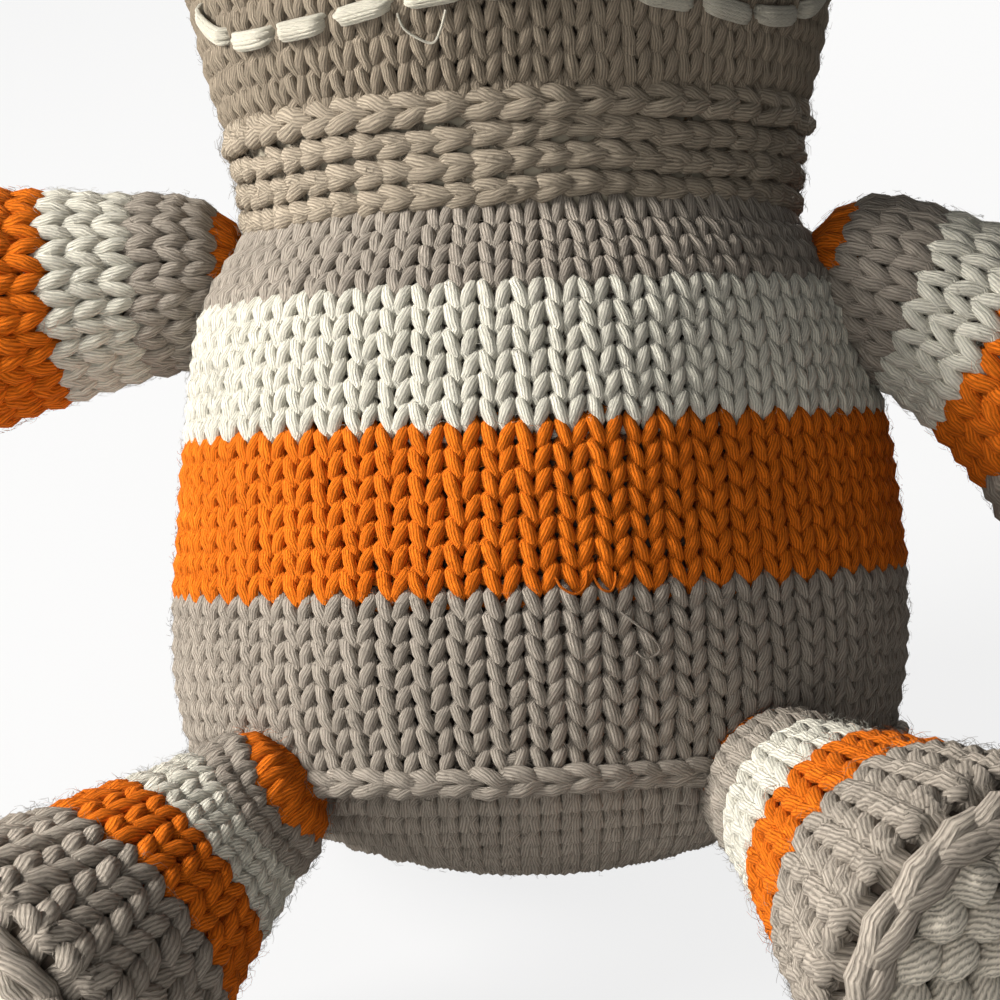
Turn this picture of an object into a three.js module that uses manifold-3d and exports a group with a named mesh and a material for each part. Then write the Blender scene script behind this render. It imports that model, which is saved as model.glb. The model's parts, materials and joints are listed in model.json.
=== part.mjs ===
// A hand-knitted rhino that sits and leans back: striped torso, round head, stuffed limbs, a short tail.
// Millimetres, +Z up. The origin is the middle of the flat patch that the toy sits on, and it faces -Y.
import * as THREE from "three";
import { mergeVertices } from "three/addons/utils/BufferGeometryUtils.js";
import Module from "manifold-3d";

const wasm = await Module();
wasm.setup();

// Driving dimensions. Lengths are in millimetres, angles in degrees.

// The fabric and its fits
const FIT_GAP = 0.3; // between neighbouring pieces
const WALL = 3.2; // knitted fabric, about a yarn and a half thick
const ROLL_RADIUS = 1.6; // the rolled seams round the base and the soles

// The torso, by heights above the bottom of its round base, along its own leaning axis
const LEAN = 25.25; // how far the torso leans back
const SEAT_FLAT_DEPTH = 1; // how far the stuffed base flattens where it sits
const BASE_DEPTH = 15; // from the base's lowest point up to its seam
const BASE_RADIUS = 44; // at the base seam
const BELLY_RADIUS = 46.2;
const BELLY_HEIGHT = 29;
const CHEST_RADIUS = 44.3;
const CHEST_HEIGHT = 53;
const SHOULDER_RADIUS = 41;
const SHOULDER_HEIGHT = 71;
const NECK_RADIUS = 34.6;
const NECK_HEIGHT = 81;

// The ribbed band between torso and head
const BAND_HEIGHT = 12.4;
const BAND_RIBS = 4;
const BAND_RIB_DEPTH = 0.8;
const BAND_FLARE = 2; // how much wider the band is at the head than at the torso

// The head, by heights above its lower edge. Depths are from the neck's axis to the front.
const HEAD_HEIGHT = 74;
const HEAD_BACK = 43; // from the neck's axis to the back of the head
const MOUTH_HEIGHT = 11;
const MOUTH_WIDTH = 79;
const MOUTH_DEPTH = 44;
const MUZZLE_HEIGHT = 28;
const MUZZLE_WIDTH = 83;
const MUZZLE_DEPTH = 53;
const BROW_HEIGHT = 52;
const BROW_WIDTH = 76;
const BROW_DEPTH = 42;
const BROW_BACK = 39;
const CROWN_DROP = 5; // from the top of the head to where its dome turns down
const CROWN_WIDTH = 44;

// What is sewn on the head
const HORN_LENGTH = 30;
const HORN_RADIUS = 9.5;
const HORN_HEIGHT = 39; // of its middle, on the muzzle
const HORN_RISE = 40; // above the horizontal
const HORN_BEND = 28; // how far its tip turns up
const SMALL_HORN_LENGTH = 15;
const SMALL_HORN_RADIUS = 6.5;
const SMALL_HORN_HEIGHT = 56;
const SMALL_HORN_RISE = 56;
const HORN_FULLNESS = 0.8; // 1 tapers evenly, less keeps the side full
const HORN_ROOT = 8; // how far a horn is drawn into the head before it is cut to fit
const EYE_RADIUS = 4.2;
const EYE_SWELL = 3; // how far an eye stands out
const EYE_POST_RADIUS = 1.3;
const EYE_POST_LENGTH = 9;
const EYE_HEIGHT = 46;
const EYE_AZIMUTH = 52;
const WASHER_RADIUS = 5;
const WASHER_THICKNESS = 1.4;
const MOUTH_STITCHES = 11;
const MOUTH_STITCH_LENGTH = 8;
const MOUTH_STITCH_SPACE = 1.6;
const MOUTH_STITCH_RADIUS = 0.9;
const MOUTH_DIP = 2.8; // how far the mouth sinks on either side of its middle
const MOUTH_DIP_REACH = 40; // from the middle, along the mouth, to where it is lowest
const MOUTH_SMILE = 6; // how far its ends rise
const EAR_LENGTH = 23;
const EAR_WIDTH = 18;
const EAR_WIDEST = 11; // from its root up to where it is widest
const EAR_ROOT_WIDTH = 11;
const EAR_THICKNESS = 5;
const EAR_HEIGHT = 62;
const EAR_AZIMUTH = 100;
const EAR_RISE = 48; // above the horizontal
const EAR_SINK = 1.4; // how deep its rounded root lies in the head

// The limbs. Each root is a ball that sits in a dimple drawn into the torso.
// A turn is from straight ahead to one side, and a drop is below the torso's level.
const ROOT_OPENING = 5; // radius of the hole that a limb is stuffed through
const ARM_ROOT_RADIUS = 13.4;
const ARM_END_RADIUS = 20;
const ARM_LENGTH = 42; // from the middle of the ball to the sole's seam
const ARM_FLARE = 1.25; // 1 widens evenly, more widens late
const ARM_SINK = 4.6;
const RIGHT_ARM_SEAT = 97;
const RIGHT_ARM_BELOW_NECK = 5.8;
const RIGHT_ARM_TURN = 92;
const RIGHT_ARM_DROP = 3;
const RIGHT_ARM_BEND = 6;
const LEFT_ARM_SEAT = 76;
const LEFT_ARM_BELOW_NECK = 8.5;
const LEFT_ARM_TURN = 84;
const LEFT_ARM_DROP = 25;
const LEFT_ARM_BEND = 16;
const LEG_ROOT_RADIUS = 11;
const LEG_END_RADIUS = 21.5;
const LEG_LENGTH = 36;
const LEG_FLARE = 1.15;
const LEG_SINK = 6.6;
const LEG_HEIGHT = 14;
const RIGHT_LEG_SEAT = 47.5;
const RIGHT_LEG_TURN = 55;
const RIGHT_LEG_DROP = 32;
const LEFT_LEG_SEAT = 34.5;
const LEFT_LEG_TURN = 33;
const LEFT_LEG_DROP = 24;
const SOLE_SWELL = 2;
const FOOT_TUCK = 2.6; // how far a limb's end turns in to its sole's rim
const TAIL_RADIUS = 3.8;
const TAIL_END_RADIUS = 3;
const TAIL_LENGTH = 30;
const TAIL_SINK = 1.8;
const TAIL_HEIGHT = 29;
const TAIL_RISE = 26;
const TAIL_BEND = 20;

// Facets round a form
const ROUND = 30;
const LIMB_ROUND = 16;
const SMALL_ROUND = 10;
const BALL_ROUND = 16;

const COLOURS = {
  grey: 0x9b938a,
  taupe: 0x8a7f74,
  orange: 0xe8741c,
  cream: 0xefe9d6,
  black: 0x15120f,
  fill: 0xf4f2ee,
};

function yarn(colour) {
  return new THREE.MeshStandardMaterial({ color: COLOURS[colour], roughness: 0.95, metalness: 0 });
}

function plastic(colour, roughness) {
  return new THREE.MeshStandardMaterial({ color: COLOURS[colour], roughness, metalness: 0 });
}

const radians = THREE.MathUtils.degToRad;
const UP = new THREE.Vector3(0, 0, 1);

// A way to point: an azimuth from straight ahead that grows to the toy's left, and a rise above the level.
function heading(azimuth, rise) {
  const level = Math.cos(radians(rise));
  return new THREE.Vector3(
    level * Math.sin(radians(azimuth)),
    -level * Math.cos(radians(azimuth)),
    Math.sin(radians(rise)),
  );
}

// Evenly spaced numbers from one end to the other.
function steps(from, to, count) {
  return Array.from({ length: count + 1 }, (_, i) => from + ((to - from) * i) / count);
}

// A closed geometry as a solid that can be joined and cut.
function solid(geometry) {
  const bare = geometry.clone();
  bare.deleteAttribute("normal");
  bare.deleteAttribute("uv");
  const merged = mergeVertices(bare, 1e-4);
  const corners = merged.index.array;
  const whole = [];
  for (let i = 0; i < corners.length; i += 3) {
    const [a, b, c] = corners.slice(i, i + 3);
    if (a !== b && b !== c && c !== a) whole.push(a, b, c);
  }
  return new wasm.Manifold(new wasm.Mesh({
    numProp: 3,
    vertProperties: merged.attributes.position.array,
    triVerts: new Uint32Array(whole),
  }));
}

// A solid's surface as a geometry.
function surfaceOf(body) {
  const mesh = body.getMesh();
  const geometry = new THREE.BufferGeometry();
  geometry.setAttribute("position", new THREE.BufferAttribute(new Float32Array(mesh.vertProperties), 3));
  geometry.setIndex(new THREE.BufferAttribute(mesh.triVerts, 1));
  geometry.computeVertexNormals();
  return geometry;
}

function piece(name, geometry, material) {
  const mesh = new THREE.Mesh(geometry, material);
  mesh.name = name;
  return mesh;
}

// A profile of [radius, height] pairs turned about the Z axis.
function turned(profile, facets = ROUND) {
  const points = profile.map(([radius, height]) => new THREE.Vector2(radius, height));
  return new THREE.LatheGeometry(points, facets).rotateX(Math.PI / 2);
}

// A ball whose facets lie no nearer to its middle than the radius.
function ball(radius, centre) {
  const reach = radius / Math.cos(Math.PI / BALL_ROUND) ** 2;
  const sphere = new THREE.SphereGeometry(reach, BALL_ROUND, BALL_ROUND / 2);
  return solid(sphere.translate(centre.x, centre.y, centre.z));
}

// A round bar along a direction, from a point.
function bar(radius, length, from, direction) {
  const geometry = new THREE.CylinderGeometry(radius, radius, length, SMALL_ROUND);
  geometry.rotateX(Math.PI / 2).translate(0, 0, length / 2);
  geometry.applyQuaternion(new THREE.Quaternion().setFromUnitVectors(UP, direction));
  return solid(geometry.translate(from.x, from.y, from.z));
}

// A geometry that starts along +Z bends evenly towards +X.
function bent(geometry, length, bend) {
  if (bend === 0) return geometry;
  const curve = length / radians(bend);
  const place = geometry.attributes.position;
  for (let i = 0; i < place.count; i++) {
    const along = Math.max(place.getZ(i), 0);
    const below = Math.min(place.getZ(i), 0);
    const reach = curve - place.getX(i);
    place.setX(i, curve - reach * Math.cos(along / curve));
    place.setZ(i, reach * Math.sin(along / curve) + below);
  }
  return geometry;
}

// A frame at a root: +Z points along the limb and +X as near as it can to a second way.
function frameAt(root, direction, towards) {
  const side = towards.clone().addScaledVector(direction, -towards.dot(direction)).normalize();
  const across = new THREE.Vector3().crossVectors(direction, side);
  const frame = new THREE.Group();
  frame.quaternion.setFromRotationMatrix(new THREE.Matrix4().makeBasis(side, across, direction));
  frame.position.copy(root);
  return frame;
}

// The torso: a bell that widens from the neck to the belly

const torsoCurve = new THREE.SplineCurve([
  new THREE.Vector2(BASE_RADIUS, BASE_DEPTH),
  new THREE.Vector2(BELLY_RADIUS, BELLY_HEIGHT),
  new THREE.Vector2(CHEST_RADIUS, CHEST_HEIGHT),
  new THREE.Vector2(SHOULDER_RADIUS, SHOULDER_HEIGHT),
  new THREE.Vector2(NECK_RADIUS, NECK_HEIGHT),
]);

// The share of the way along a rising curve at which it reaches a height.
function shareAt(heightOf, height) {
  let [low, high] = [0, 1];
  for (let i = 0; i < 40; i++) {
    const middle = (low + high) / 2;
    if (heightOf(middle) < height) low = middle;
    else high = middle;
  }
  return low;
}

function torsoRadius(height) {
  return torsoCurve.getPoint(shareAt((share) => torsoCurve.getPoint(share).y, height)).x;
}

// The base is a cap of a large sphere.
const baseSphere = (BASE_RADIUS ** 2 + BASE_DEPTH ** 2) / (2 * BASE_DEPTH);

function baseSide(inset, top) {
  const end = Math.acos((baseSphere - top) / (baseSphere - inset));
  return steps(0, end, 5).map((angle) => {
    const reach = baseSphere - inset;
    return [reach * Math.sin(angle), baseSphere - reach * Math.cos(angle)];
  });
}

const torsoFoot = BASE_DEPTH + ROLL_RADIUS + FIT_GAP;

function torsoSide(inset, low, high) {
  return steps(low, high, 9).map((height) => [torsoRadius(height) - inset, height]);
}

// The floor as the leaning torso sees it: a deep slab whose top is the flat that the toy sits on.
const seatReach = baseSphere - SEAT_FLAT_DEPTH;
const seatMiddle = new THREE.Vector3(0, Math.sin(radians(LEAN)), -Math.cos(radians(LEAN)))
  .multiplyScalar(seatReach)
  .addScaledVector(UP, baseSphere);

function floorSlab() {
  const size = 4 * BASE_RADIUS;
  const slab = new THREE.BoxGeometry(size, size, size).translate(0, 0, -size / 2);
  return solid(slab.rotateX(radians(LEAN)).translate(seatMiddle.x, seatMiddle.y, seatMiddle.z));
}

// Where a limb's root is, in the torso's frame: a radius along the limb from the torso's side, less its sink.
function limbRoot(azimuth, height, direction, radius, sink) {
  const stand = heading(azimuth, 0).multiplyScalar(torsoRadius(height)).setZ(height);
  return stand.addScaledVector(direction, radius - sink);
}

function planLimb(radius, sink, [azimuth, height], direction, towards = heading(0, -90)) {
  return { radius, direction, towards, root: limbRoot(azimuth, height, direction, radius, sink) };
}

const limbSeats = {
  right_arm: [-RIGHT_ARM_SEAT, NECK_HEIGHT - RIGHT_ARM_BELOW_NECK],
  left_arm: [LEFT_ARM_SEAT, NECK_HEIGHT - LEFT_ARM_BELOW_NECK],
  right_leg: [-RIGHT_LEG_SEAT, LEG_HEIGHT],
  left_leg: [LEFT_LEG_SEAT, LEG_HEIGHT],
  tail: [180, TAIL_HEIGHT],
};
const limbWays = {
  right_arm: heading(-RIGHT_ARM_TURN, -RIGHT_ARM_DROP),
  left_arm: heading(LEFT_ARM_TURN, -LEFT_ARM_DROP),
  right_leg: heading(-RIGHT_LEG_TURN, -RIGHT_LEG_DROP),
  left_leg: heading(LEFT_LEG_TURN, -LEFT_LEG_DROP),
  tail: heading(180, TAIL_RISE),
};
const limbPlan = {
  right_arm: planLimb(ARM_ROOT_RADIUS, ARM_SINK, limbSeats.right_arm, limbWays.right_arm),
  left_arm: planLimb(ARM_ROOT_RADIUS, ARM_SINK, limbSeats.left_arm, limbWays.left_arm),
  right_leg: planLimb(LEG_ROOT_RADIUS, LEG_SINK, limbSeats.right_leg, limbWays.right_leg),
  left_leg: planLimb(LEG_ROOT_RADIUS, LEG_SINK, limbSeats.left_leg, limbWays.left_leg),
  tail: planLimb(TAIL_RADIUS, TAIL_SINK, limbSeats.tail, limbWays.tail, heading(90, 0)),
};

// Balls at the limbs' roots, grown by some amount: dimples that hold them, or what lies behind the dimples.
function rootBalls(growth) {
  return Object.values(limbPlan).map((plan) => ball(plan.radius + growth, plan.root));
}

function without(body, cutters) {
  return cutters.reduce((left, cutter) => left.subtract(cutter), body);
}

function limbFrame(name) {
  const plan = limbPlan[name];
  return frameAt(plan.root, plan.direction, plan.towards);
}

function makeTorso() {
  const dimples = rootBalls(FIT_GAP);
  const behindDimples = rootBalls(FIT_GAP + WALL);
  const skin = solid(turned([[0, torsoFoot], ...torsoSide(0, torsoFoot, NECK_HEIGHT), [0, NECK_HEIGHT]]));
  const past = 2 * FIT_GAP;
  const hollow = torsoSide(WALL, torsoFoot, NECK_HEIGHT);
  hollow[0][1] -= past;
  hollow.at(-1)[1] += past;
  const room = solid(turned([[0, hollow[0][1]], ...hollow, [0, hollow.at(-1)[1]]]));
  const sleeve = without(skin, [without(room, behindDimples), ...dimples]);

  const roll = steps(-0.5, 0.5, 5).map((turn) => [
    BASE_RADIUS - ROLL_RADIUS / 2 + ROLL_RADIUS * Math.cos(turn * Math.PI),
    BASE_DEPTH + ROLL_RADIUS * Math.sin(turn * Math.PI),
  ]);
  const baseTop = BASE_DEPTH + ROLL_RADIUS;
  const bowl = solid(turned([...baseSide(0, BASE_DEPTH - ROLL_RADIUS), ...roll, [0, baseTop]]));
  const inside = baseSide(WALL, baseTop);
  const bowlRoom = solid(turned([...inside, [inside.at(-1)[0], baseTop + past], [0, baseTop + past]]));

  const base = without(bowl, [without(bowlRoom, behindDimples), ...dimples, floorSlab()]);

  const neckTop = NECK_HEIGHT + FIT_GAP + BAND_HEIGHT;
  const neckPlug = NECK_RADIUS - WALL - FIT_GAP;
  const filling = solid(turned([
    ...baseSide(WALL + FIT_GAP, torsoFoot),
    ...torsoSide(WALL + FIT_GAP, torsoFoot, NECK_HEIGHT),
    [neckPlug, NECK_HEIGHT + FIT_GAP],
    [neckPlug, neckTop],
    [0, neckTop],
  ], LIMB_ROUND));
  const stuffing = without(filling, rootBalls(FIT_GAP + WALL + FIT_GAP));
  return [
    piece("torso_knit", surfaceOf(sleeve), yarn("orange")),
    piece("base_knit", surfaceOf(base), yarn("grey")),
    piece("torso_stuffing", surfaceOf(stuffing), yarn("fill")),
    piece("neck_band_knit", surfaceOf(without(solid(turned(bandProfile())), dimples)), yarn("grey")),
  ];
}

// The band's outside waves in and out once for each rib.
function bandProfile() {
  const low = NECK_HEIGHT + FIT_GAP;
  const bore = NECK_RADIUS - WALL;
  const outside = steps(0, 1, 2 * BAND_RIBS).map((share, i) => {
    const wave = i % 2 === 1 ? BAND_RIB_DEPTH : 0;
    return [NECK_RADIUS + BAND_FLARE * share + wave, low + BAND_HEIGHT * share];
  });
  return [[bore, low], ...outside, [bore, low + BAND_HEIGHT], [bore, low]];
}

// The head: a sack whose width, front and back each follow their own line from the neck up to the crown

const headFoot = NECK_HEIGHT + FIT_GAP + BAND_HEIGHT + FIT_GAP;
const headFootRadius = NECK_RADIUS + BAND_FLARE;
const crownRadius = CROWN_WIDTH / 2;
const headRows = [
  { height: 0, width: headFootRadius, front: headFootRadius, back: headFootRadius },
  { height: MOUTH_HEIGHT, width: MOUTH_WIDTH / 2, front: MOUTH_DEPTH, back: (NECK_RADIUS + HEAD_BACK) / 2 },
  { height: MUZZLE_HEIGHT, width: MUZZLE_WIDTH / 2, front: MUZZLE_DEPTH, back: HEAD_BACK },
  { height: BROW_HEIGHT, width: BROW_WIDTH / 2, front: BROW_DEPTH, back: BROW_BACK },
  { height: HEAD_HEIGHT - CROWN_DROP, width: crownRadius, front: crownRadius, back: crownRadius },
  { height: HEAD_HEIGHT, width: 0, front: 0, back: 0 },
];
const headWidths = new THREE.SplineCurve(headRows.map((row) => new THREE.Vector2(row.width, row.height)));
const headDepths = new THREE.SplineCurve(headRows.map((row) => new THREE.Vector2(row.front, row.back)));

// A point of the head's outside, by an azimuth in radians and a share of the way up its line.
function headPoint(azimuth, share) {
  const { x: width, y: height } = headWidths.getPoint(share);
  const { x: front, y: back } = headDepths.getPoint(share);
  const ahead = Math.cos(azimuth);
  const depth = ahead > 0 ? front : back;
  return new THREE.Vector3(width * Math.sin(azimuth), -ahead * depth, headFoot + height);
}

function headNormal(azimuth, share) {
  const nudge = 1e-3;
  const level = Math.min(share, 1 - 2 * nudge);
  const round = headPoint(azimuth + nudge, level).sub(headPoint(azimuth - nudge, level));
  const rise = headPoint(azimuth, level + nudge).sub(headPoint(azimuth, Math.max(level - nudge, 0)));
  return round.cross(rise).normalize();
}

function headSeat(azimuth, height) {
  const share = shareAt((at) => headWidths.getPoint(at).y, height);
  return { point: headPoint(radians(azimuth), share), normal: headNormal(radians(azimuth), share) };
}

// The head's outside drawn in by an inset, closed by a flat floor at a height above the head's lower edge.
function headShape(inset, floor) {
  const rows = steps(0, 1, 12).slice(0, -1);
  const points = [];
  for (const share of rows) {
    for (let i = 0; i < ROUND; i++) {
      const azimuth = (2 * Math.PI * i) / ROUND;
      const place = headPoint(azimuth, share).addScaledVector(headNormal(azimuth, share), -inset);
      points.push(share === 0 ? place.setZ(headFoot + floor) : place);
    }
  }
  const crown = points.push(headPoint(0, 1).addScaledVector(UP, -inset)) - 1;
  const middle = points.push(new THREE.Vector3(0, 0, headFoot + floor)) - 1;
  const corners = [];
  for (let i = 0; i < ROUND; i++) {
    const next = (i + 1) % ROUND;
    corners.push(middle, next, i);
    for (let row = 0; row < rows.length - 1; row++) {
      const [low, high] = [row * ROUND, (row + 1) * ROUND];
      corners.push(low + i, low + next, high + next, low + i, high + next, high + i);
    }
    const top = (rows.length - 1) * ROUND;
    corners.push(top + i, top + next, crown);
  }
  const geometry = new THREE.BufferGeometry().setFromPoints(points);
  geometry.setIndex(corners);
  return solid(geometry);
}

const eyeSeats = {
  right: headSeat(-EYE_AZIMUTH, EYE_HEIGHT),
  left: headSeat(EYE_AZIMUTH, EYE_HEIGHT),
};

// An ear's hinge line runs along its root, level with the ground and across the way the ear points.
function earFrame(side) {
  const seat = headSeat(side * EAR_AZIMUTH, EAR_HEIGHT);
  const root = seat.point.addScaledVector(seat.normal, EAR_THICKNESS / 2 - EAR_SINK);
  return frameAt(root, heading(side * EAR_AZIMUTH, EAR_RISE), heading(side * EAR_AZIMUTH - side * 90, 0));
}

// The rounded root of an ear, grown by some amount, as a bar along its hinge line.
function earRoot(frame, growth) {
  const along = new THREE.Vector3(1, 0, 0).applyQuaternion(frame.quaternion);
  const length = EAR_ROOT_WIDTH + 2 * growth;
  const from = frame.position.clone().addScaledVector(along, -length / 2);
  return bar(EAR_THICKNESS / 2 + growth, length, from, along);
}

function makeHead() {
  const outside = headShape(0, 0);
  const earGrooves = [earFrame(-1), earFrame(1)].map((frame) => earRoot(frame, FIT_GAP));
  const postHoles = Object.values(eyeSeats).map(({ point, normal }) => {
    const start = point.clone().addScaledVector(normal, -WALL * 2);
    return bar(EYE_POST_RADIUS + FIT_GAP, WALL * 3, start, normal);
  });
  const washerRooms = Object.values(eyeSeats).map(({ point, normal }) => {
    const start = point.clone().addScaledVector(normal, -EYE_POST_LENGTH - FIT_GAP);
    return bar(WASHER_RADIUS + FIT_GAP, EYE_POST_LENGTH, start, normal);
  });
  const skin = without(outside, [headShape(WALL, -FIT_GAP), ...earGrooves, ...postHoles]);
  const filling = headShape(WALL + FIT_GAP, FIT_GAP);
  return [
    piece("head_knit", surfaceOf(skin), yarn("taupe")),
    piece("head_stuffing", surfaceOf(without(filling, washerRooms)), yarn("fill")),
    ...makeHorns(),
    ...makeMouth(),
  ];
}

// A horn is a cone with a full side and a round tip, drawn on into the head and then cut to lie on it.
function hornShape(length, radius, height, rise, bend) {
  const side = steps(0, 1, 6).slice(0, -1).map((share) => [
    radius * Math.cos((share * Math.PI) / 2) ** HORN_FULLNESS,
    length * share,
  ]);
  const straight = turned([[0, -HORN_ROOT], [radius, -HORN_ROOT], ...side, [0, length]], LIMB_ROUND);
  const cone = bent(straight, length, bend);
  const frame = frameAt(headSeat(0, height).point, heading(0, rise), UP);
  frame.updateMatrix();
  return surfaceOf(solid(cone.applyMatrix4(frame.matrix)).subtract(headShape(-FIT_GAP, 0)));
}

function makeHorns() {
  const front = hornShape(HORN_LENGTH, HORN_RADIUS, HORN_HEIGHT, HORN_RISE, HORN_BEND);
  const rear = hornShape(SMALL_HORN_LENGTH, SMALL_HORN_RADIUS, SMALL_HORN_HEIGHT, SMALL_HORN_RISE, 0);
  return [piece("front_horn", front, yarn("cream")), piece("rear_horn", rear, yarn("cream"))];
}

// The mouth is a row of running stitches that rises at both ends.
function makeMouth() {
  const pitch = MOUTH_STITCH_LENGTH + MOUTH_STITCH_SPACE;
  const reach = (MOUTH_STITCHES * pitch) / 2;
  const degreesPerLength = 180 / Math.PI / ((MOUTH_WIDTH / 2 + MOUTH_DEPTH) / 2);
  const lift = FIT_GAP + MOUTH_STITCH_RADIUS;
  const onHead = (along) => {
    const dip = MOUTH_DIP * Math.sin((Math.PI / 2) * (along / MOUTH_DIP_REACH)) ** 2;
    const smile = MOUTH_SMILE * (along / reach) ** 8;
    const { point, normal } = headSeat(along * degreesPerLength, MOUTH_HEIGHT - dip + smile);
    return point.addScaledVector(normal, lift);
  };
  const section = new THREE.Shape().absarc(0, 0, MOUTH_STITCH_RADIUS, 0, 2 * Math.PI);
  return Array.from({ length: MOUTH_STITCHES }, (_, i) => {
    const middle = (i - (MOUTH_STITCHES - 1) / 2) * pitch;
    const ends = steps(middle - MOUTH_STITCH_LENGTH / 2, middle + MOUTH_STITCH_LENGTH / 2, 2);
    const extrudePath = new THREE.CatmullRomCurve3(ends.map(onHead));
    const geometry = new THREE.ExtrudeGeometry(section, { steps: 3, curveSegments: 4, extrudePath });
    return piece(`mouth_stitch_${i + 1}`, geometry, yarn("cream"));
  });
}

// An eye is a dome on a post that passes through the fabric, held inside by a washer.
function makeEye(side) {
  const { point, normal } = eyeSeats[side];
  const dome = steps(0, Math.PI / 2, 4).map((angle) => [
    EYE_RADIUS * Math.cos(angle),
    FIT_GAP + EYE_SWELL * Math.sin(angle),
  ]);
  dome.at(-1)[0] = 0;
  const post = [[0, -EYE_POST_LENGTH], [EYE_POST_RADIUS, -EYE_POST_LENGTH], [EYE_POST_RADIUS, FIT_GAP]];
  const sag = WASHER_RADIUS ** 2 / BROW_DEPTH;
  const washerTop = -WALL - FIT_GAP - sag;
  const bore = EYE_POST_RADIUS + FIT_GAP;
  const washer = [
    [bore, washerTop - WASHER_THICKNESS],
    [WASHER_RADIUS, washerTop - WASHER_THICKNESS],
    [WASHER_RADIUS, washerTop],
    [bore, washerTop],
    [bore, washerTop - WASHER_THICKNESS],
  ];
  const frame = frameAt(point, normal, UP);
  frame.add(
    piece(`${side}_eye`, turned([...post, ...dome], SMALL_ROUND), plastic("black", 0.15)),
    piece(`${side}_eye_washer`, turned(washer, SMALL_ROUND), plastic("fill", 0.5)),
  );
  return frame;
}

// An ear is a leaf of double fabric whose rounded root lies in a groove of the head.
function makeEar(name, side) {
  const frame = earFrame(side);
  const leaf = new THREE.Shape();
  leaf.moveTo(-EAR_ROOT_WIDTH / 2, 0);
  leaf.splineThru([
    new THREE.Vector2(-EAR_WIDTH / 2, EAR_WIDEST),
    new THREE.Vector2(0, EAR_LENGTH),
    new THREE.Vector2(EAR_WIDTH / 2, EAR_WIDEST),
    new THREE.Vector2(EAR_ROOT_WIDTH / 2, 0),
  ]);
  const cloth = { depth: EAR_THICKNESS, bevelEnabled: false, curveSegments: 3 };
  const blade = new THREE.ExtrudeGeometry(leaf, cloth);
  blade.translate(0, 0, -EAR_THICKNESS / 2).rotateX(Math.PI / 2);
  const still = new THREE.Group();
  const root = earRoot(still, 0);
  frame.add(piece(name, surfaceOf(solid(blade).add(root)), yarn("taupe")));
  return frame;
}

// The limbs: a ball root, a side that widens, then a flat sole inside a rolled rim

// A limb's side from the hole in its ball to its end, drawn in by an inset.
function limbSide({ rootRadius, endRadius, length, flare }, inset) {
  const hole = Math.asin(ROOT_OPENING / rootRadius);
  const cap = steps(hole, Math.PI / 2, 3).slice(0, -1).map((angle) => {
    const radius = rootRadius - inset;
    return [radius * Math.sin(angle), -radius * Math.cos(angle)];
  });
  const straight = length - FOOT_TUCK;
  const side = steps(0, 1, 6).map((share) => {
    const radius = rootRadius + (endRadius - rootRadius) * share ** flare;
    return [radius - inset, straight * share];
  });
  const tuck = steps(0, Math.PI / 2, 2).slice(1).map((angle) => [
    endRadius - inset - FOOT_TUCK * (1 - Math.cos(angle)),
    straight + FOOT_TUCK * Math.sin(angle),
  ]);
  return [...cap, ...side, ...tuck];
}

function makeLimb(name, shape, bend) {
  const { endRadius, length } = shape;
  const inside = limbSide(shape, WALL).reverse();
  const filling = limbSide(shape, WALL + FIT_GAP);
  const rimRadius = endRadius - FOOT_TUCK - ROLL_RADIUS;
  const soleRadius = rimRadius - ROLL_RADIUS - FIT_GAP;
  const soleBack = length + FIT_GAP;
  const crown = steps(0, 1, 4).map((share) => [
    soleRadius * (1 - share),
    soleBack + ROLL_RADIUS + SOLE_SWELL * (1 - (1 - share) ** 2),
  ]);
  const rim = new THREE.TorusGeometry(rimRadius, ROLL_RADIUS, 6, LIMB_ROUND);
  rim.translate(0, 0, soleBack + ROLL_RADIUS);
  const knit = turned([...inside, ...limbSide(shape, 0), inside[0]], LIMB_ROUND);
  const stuffing = turned([[0, filling[0][1]], ...filling, [0, length]], LIMB_ROUND);
  const sole = turned([[0, soleBack], [soleRadius, soleBack], ...crown], LIMB_ROUND);
  const frame = limbFrame(name);
  frame.add(
    piece(`${name}_knit`, bent(knit, length, bend), yarn("grey")),
    piece(`${name}_stuffing`, bent(stuffing, length, bend), yarn("fill")),
    piece(`${name}_sole`, bent(sole, length, bend), yarn("taupe")),
    piece(`${name}_sole_rim`, bent(rim, length, bend), yarn("taupe")),
  );
  return frame;
}

const armShape = {
  rootRadius: ARM_ROOT_RADIUS,
  endRadius: ARM_END_RADIUS,
  length: ARM_LENGTH,
  flare: ARM_FLARE,
};
const legShape = {
  rootRadius: LEG_ROOT_RADIUS,
  endRadius: LEG_END_RADIUS,
  length: LEG_LENGTH,
  flare: LEG_FLARE,
};

function makeTail() {
  const quarter = steps(0, Math.PI / 2, 3);
  const root = quarter.map((angle) => [TAIL_RADIUS * Math.sin(angle), -TAIL_RADIUS * Math.cos(angle)]);
  root[0][0] = 0;
  const straight = TAIL_LENGTH - TAIL_END_RADIUS;
  const middle = steps(0, straight, 4).slice(1, -1).map((along) => [
    THREE.MathUtils.mapLinear(along, 0, straight, TAIL_RADIUS, TAIL_END_RADIUS),
    along,
  ]);
  const tip = quarter.map((angle) => [
    TAIL_END_RADIUS * Math.cos(angle),
    straight + TAIL_END_RADIUS * Math.sin(angle),
  ]);
  tip.at(-1)[0] = 0;
  const cord = turned([...root, ...middle, ...tip], SMALL_ROUND);
  const frame = limbFrame("tail");
  frame.add(piece("tail", bent(cord, TAIL_LENGTH, TAIL_BEND), yarn("grey")));
  return frame;
}

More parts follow.
